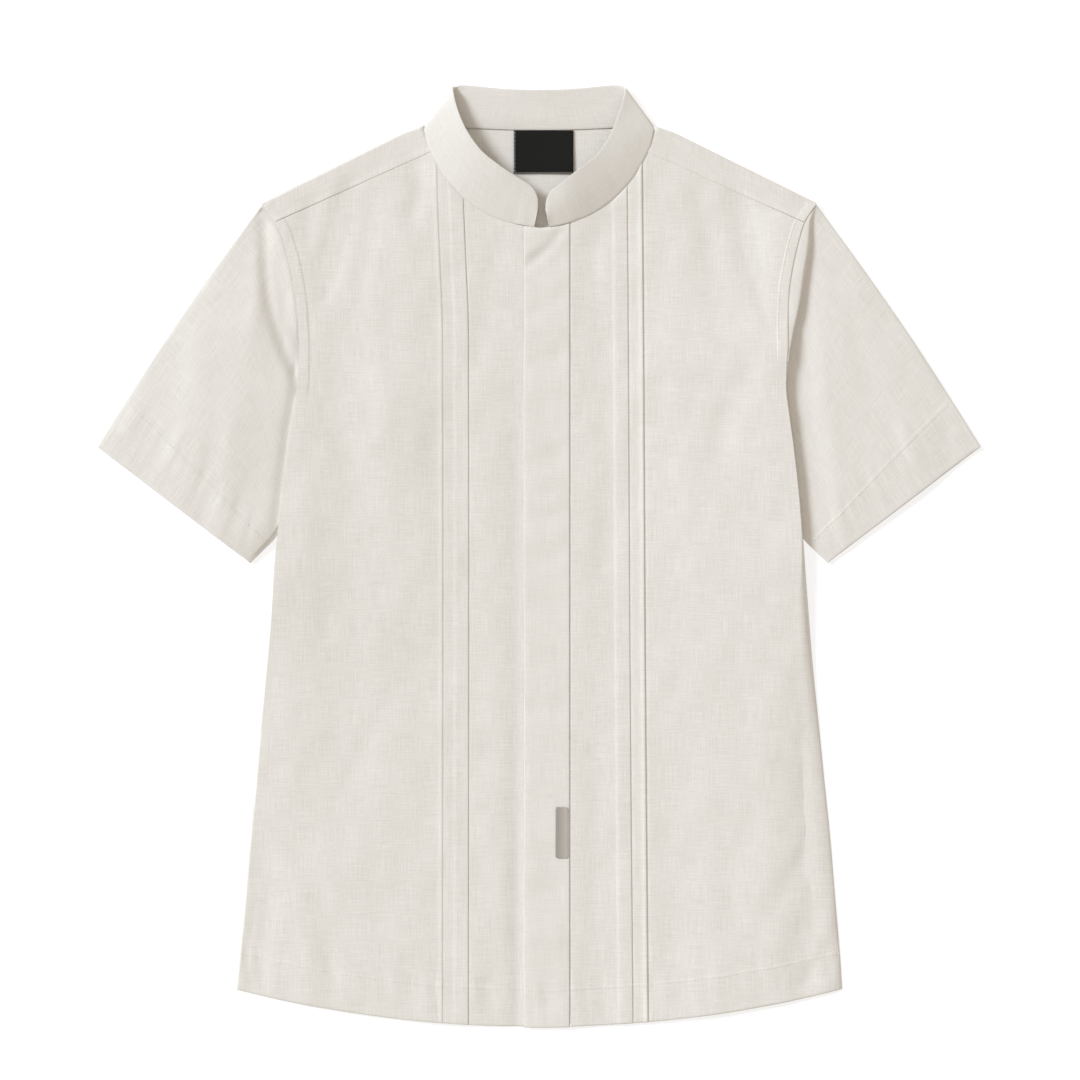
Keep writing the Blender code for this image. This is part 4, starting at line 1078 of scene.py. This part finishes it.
def makeLabel():
    left, right, top, bottom = (label[edge] for edge in ("left", "right", "top", "bottom"))
    x, drop = np.meshgrid(np.linspace(left, right, label["columns"]), np.linspace(top, bottom, label["rows"]))
    across, down = (x - left) / (right - left), (drop - top) / (bottom - top)
    flat = label["level"] + label["thickness"]
    level = flat + label["curl"] * across * down
    level = level + 0.12 * np.sin(across * 9) * down + 0.08 * np.sin(down * 7 + across * 3)
    obj = clothMesh("neck_label_cloth", place(x, drop, level), flatGrain(x, drop, 0, 300.0),
                    labelMaterial("labelSatin"), label["thickness"], outwards=False)
    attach(obj, "root")
    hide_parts("neck_label")
    # two rows of stitches down its left edge and one along its lower edge
    down = np.linspace(top + 0.6, bottom - 0.4, 40)
    along = np.linspace(left + 0.8, right - 0.6, 40)
    lifted = flat + sewing["lift"]
    curled = lifted + label["curl"] * (along - left) / (right - left)
    lines = [place(left + 1.0, down, lifted), place(left + 0.3, down, lifted),
             place(along, bottom - 0.6, curled)]
    stitches = stitchMesh("neck_label_stitches", lines, threadMaterial("labelThread", labelThreadLook))
    return obj


print("shirt: label")
makeLabel()

# The metal tag on the fly

tag = {
    "x": 18.7, "drop": 586.4, "width": 10.0, "length": 42.4, "thick": 1.1, "corner": 1.6, "edge": 0.45,
    "crown": [(1.2, 0.08), (2.6, 0.13)],   # distance in from the edge, and how far the top rises there
    "dark": (0.4, 0.39, 0.375, 1), "light": (0.82, 0.81, 0.79, 1), "roughness": (0.26, 0.42),
}


def steelMaterial(name):
    material, shader, add, calc, blend, wire = nodeTools(name)
    spot = add("ShaderNodeTexCoord").node.outputs["Object"]
    drawn = add("ShaderNodeMapping", {"Vector": spot, "Scale": (5200.0, 60.0, 900.0)})
    brushed = add("ShaderNodeTexNoise", {"Vector": drawn, "Scale": 1.0, "Detail": 3.0})
    across = add("ShaderNodeSeparateXYZ", {0: spot})
    left, right = (tag["x"] - tag["width"] / 2) * 0.001, (tag["x"] + tag["width"] / 2) * 0.001
    # painted shade and highlight: the tag runs from darker at its left edge to lighter at its right, as the
    # light falls on it; the brushed streaks mixed in are the steel's own finish
    paintedShadeAcross = add("ShaderNodeMapRange", {"Value": across, "From Min": left, "From Max": right})
    tone = calc("ADD", calc("MULTIPLY", paintedShadeAcross, 0.7), calc("MULTIPLY", brushed, 0.3))
    wire(blend(tone, tag["dark"], tag["light"]), "Base Color")
    smooth, rough = tag["roughness"]
    wire(add("ShaderNodeMapRange", {"Value": brushed, "To Min": smooth, "To Max": rough}), "Roughness")
    wire(add("ShaderNodeBump", {"Height": brushed, "Strength": 0.15, "Distance": 0.00005}), "Normal")
    shader.inputs["Metallic"].default_value = 1.0
    return material


def makeTag():
    # rings of a rounded rectangle: bottom, side, rounded edge, and a slightly crowned top
    halfWide, halfLong, corner = tag["width"] / 2, tag["length"] / 2, tag["corner"]
    base = float(flySurface(tag["x"], tag["drop"])) + 0.05

    def outline(inset):
        radius = max(corner - inset, 0.3)
        wide, tall = halfWide - inset - radius, halfLong - inset - radius
        points = []
        for quarter, (signX, signY) in enumerate(((1, 1), (-1, 1), (-1, -1), (1, -1))):
            for step in range(7):
                angle = math.pi / 2 * (quarter + step / 6)
                points.append((signX * wide + radius * math.cos(angle),
                               signY * tall + radius * math.sin(angle)))
        return points

    edge, thick = tag["edge"], tag["thick"]
    levels = [(edge, 0.0), (0.0, edge * 0.8), (0.0, thick - edge)]
    levels += [(edge * (1 - math.cos(a)), thick - edge * (1 - math.sin(a)))
               for a in (0.4, 0.8, 1.2, math.pi / 2)]
    levels += [(inset, thick + rise) for inset, rise in tag["crown"]]
    rings = [[(tag["x"] + px, tag["drop"] - py, base + level) for px, py in outline(inset)]
             for inset, level in levels]
    points = place(*np.array(rings).transpose(2, 0, 1))
    size = points.shape[1]
    faces = []
    for ring in range(len(rings) - 1):
        for spot in range(size):
            a, b = ring * size + spot, ring * size + (spot + 1) % size
            faces.append((a, b, b + size, a + size))
    faces.append(tuple(range(size))[::-1])
    faces.append(tuple((len(rings) - 1) * size + spot for spot in range(size)))
    obj = addMesh("placket_tag_metal", points.reshape(-1, 3).tolist(), faces, steelMaterial("tagSteel"))
    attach(obj, "root")
    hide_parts("placket_tag")
    return obj


print("shirt: tag")
makeTag()

# Paper, light and camera

studio = {
    "lens": 85.0, "sensor": 36.0, "frameWidth": 0.8964, "lookAt": (0.0008, 0.0137), "surface": 0.005,
    "ambient": 0.61, "ambientColour": (1.08, 1.0, 0.905, 1), "sunStrength": 2.74,
    "sunColour": (0.905, 1.0, 1.11),
    "sunHeight": 33.0, "sunTurn": 28.0, "sunSoftness": 17.0,
    "floor": (0.34, 0.34, 0.34, 1), "floorRoughness": 0.95, "floorGlow": 0.7, "floorHalf": 6.0,
    "floorLevel": -0.0004,
}


def makeStudio():
    scene = bpy.context.scene
    scene.view_settings.view_transform = "Standard"
    world = bpy.data.worlds.new("studioWorld")
    world.use_nodes = True
    sky = world.node_tree.nodes["Background"]
    sky.inputs["Color"].default_value = studio["ambientColour"]
    sky.inputs["Strength"].default_value = studio["ambient"]
    scene.world = world

    lamp = bpy.data.lights.new("softKey", "SUN")
    lamp.energy, lamp.angle = studio["sunStrength"], math.radians(studio["sunSoftness"])
    lamp.color = studio["sunColour"]
    key = bpy.data.objects.new("softKey", lamp)
    # from the upper left of the photograph, turned up from its left edge
    key.rotation_euler = (0, -math.radians(90 - studio["sunHeight"]), -math.radians(studio["sunTurn"]))
    scene.collection.objects.link(key)

    paper = bpy.data.materials.new("floorPaper")
    paper.use_nodes = True
    shader = paper.node_tree.nodes["Principled BSDF"]
    shader.inputs["Base Color"].default_value = studio["floor"]
    shader.inputs["Roughness"].default_value = studio["floorRoughness"]
    shader.inputs["Emission Color"].default_value = (1, 1, 1, 1)
    shader.inputs["Emission Strength"].default_value = studio["floorGlow"]
    half = studio["floorHalf"]
    corners = [(-half, -half, 0), (half, -half, 0), (half, half, 0), (-half, half, 0)]
    floor = addMesh("studioFloor", corners, [(0, 1, 2, 3)], paper)
    floor.location.z = studio["floorLevel"]

    lens = bpy.data.cameras.new("camera")
    lens.lens, lens.sensor_width = studio["lens"], studio["sensor"]
    camera = bpy.data.objects.new("camera", lens)
    height = studio["frameWidth"] * studio["lens"] / lens.sensor_width + studio["surface"]
    camera.location = (*studio["lookAt"], height)
    scene.collection.objects.link(camera)
    scene.camera = camera


print("shirt: studio")
makeStudio()
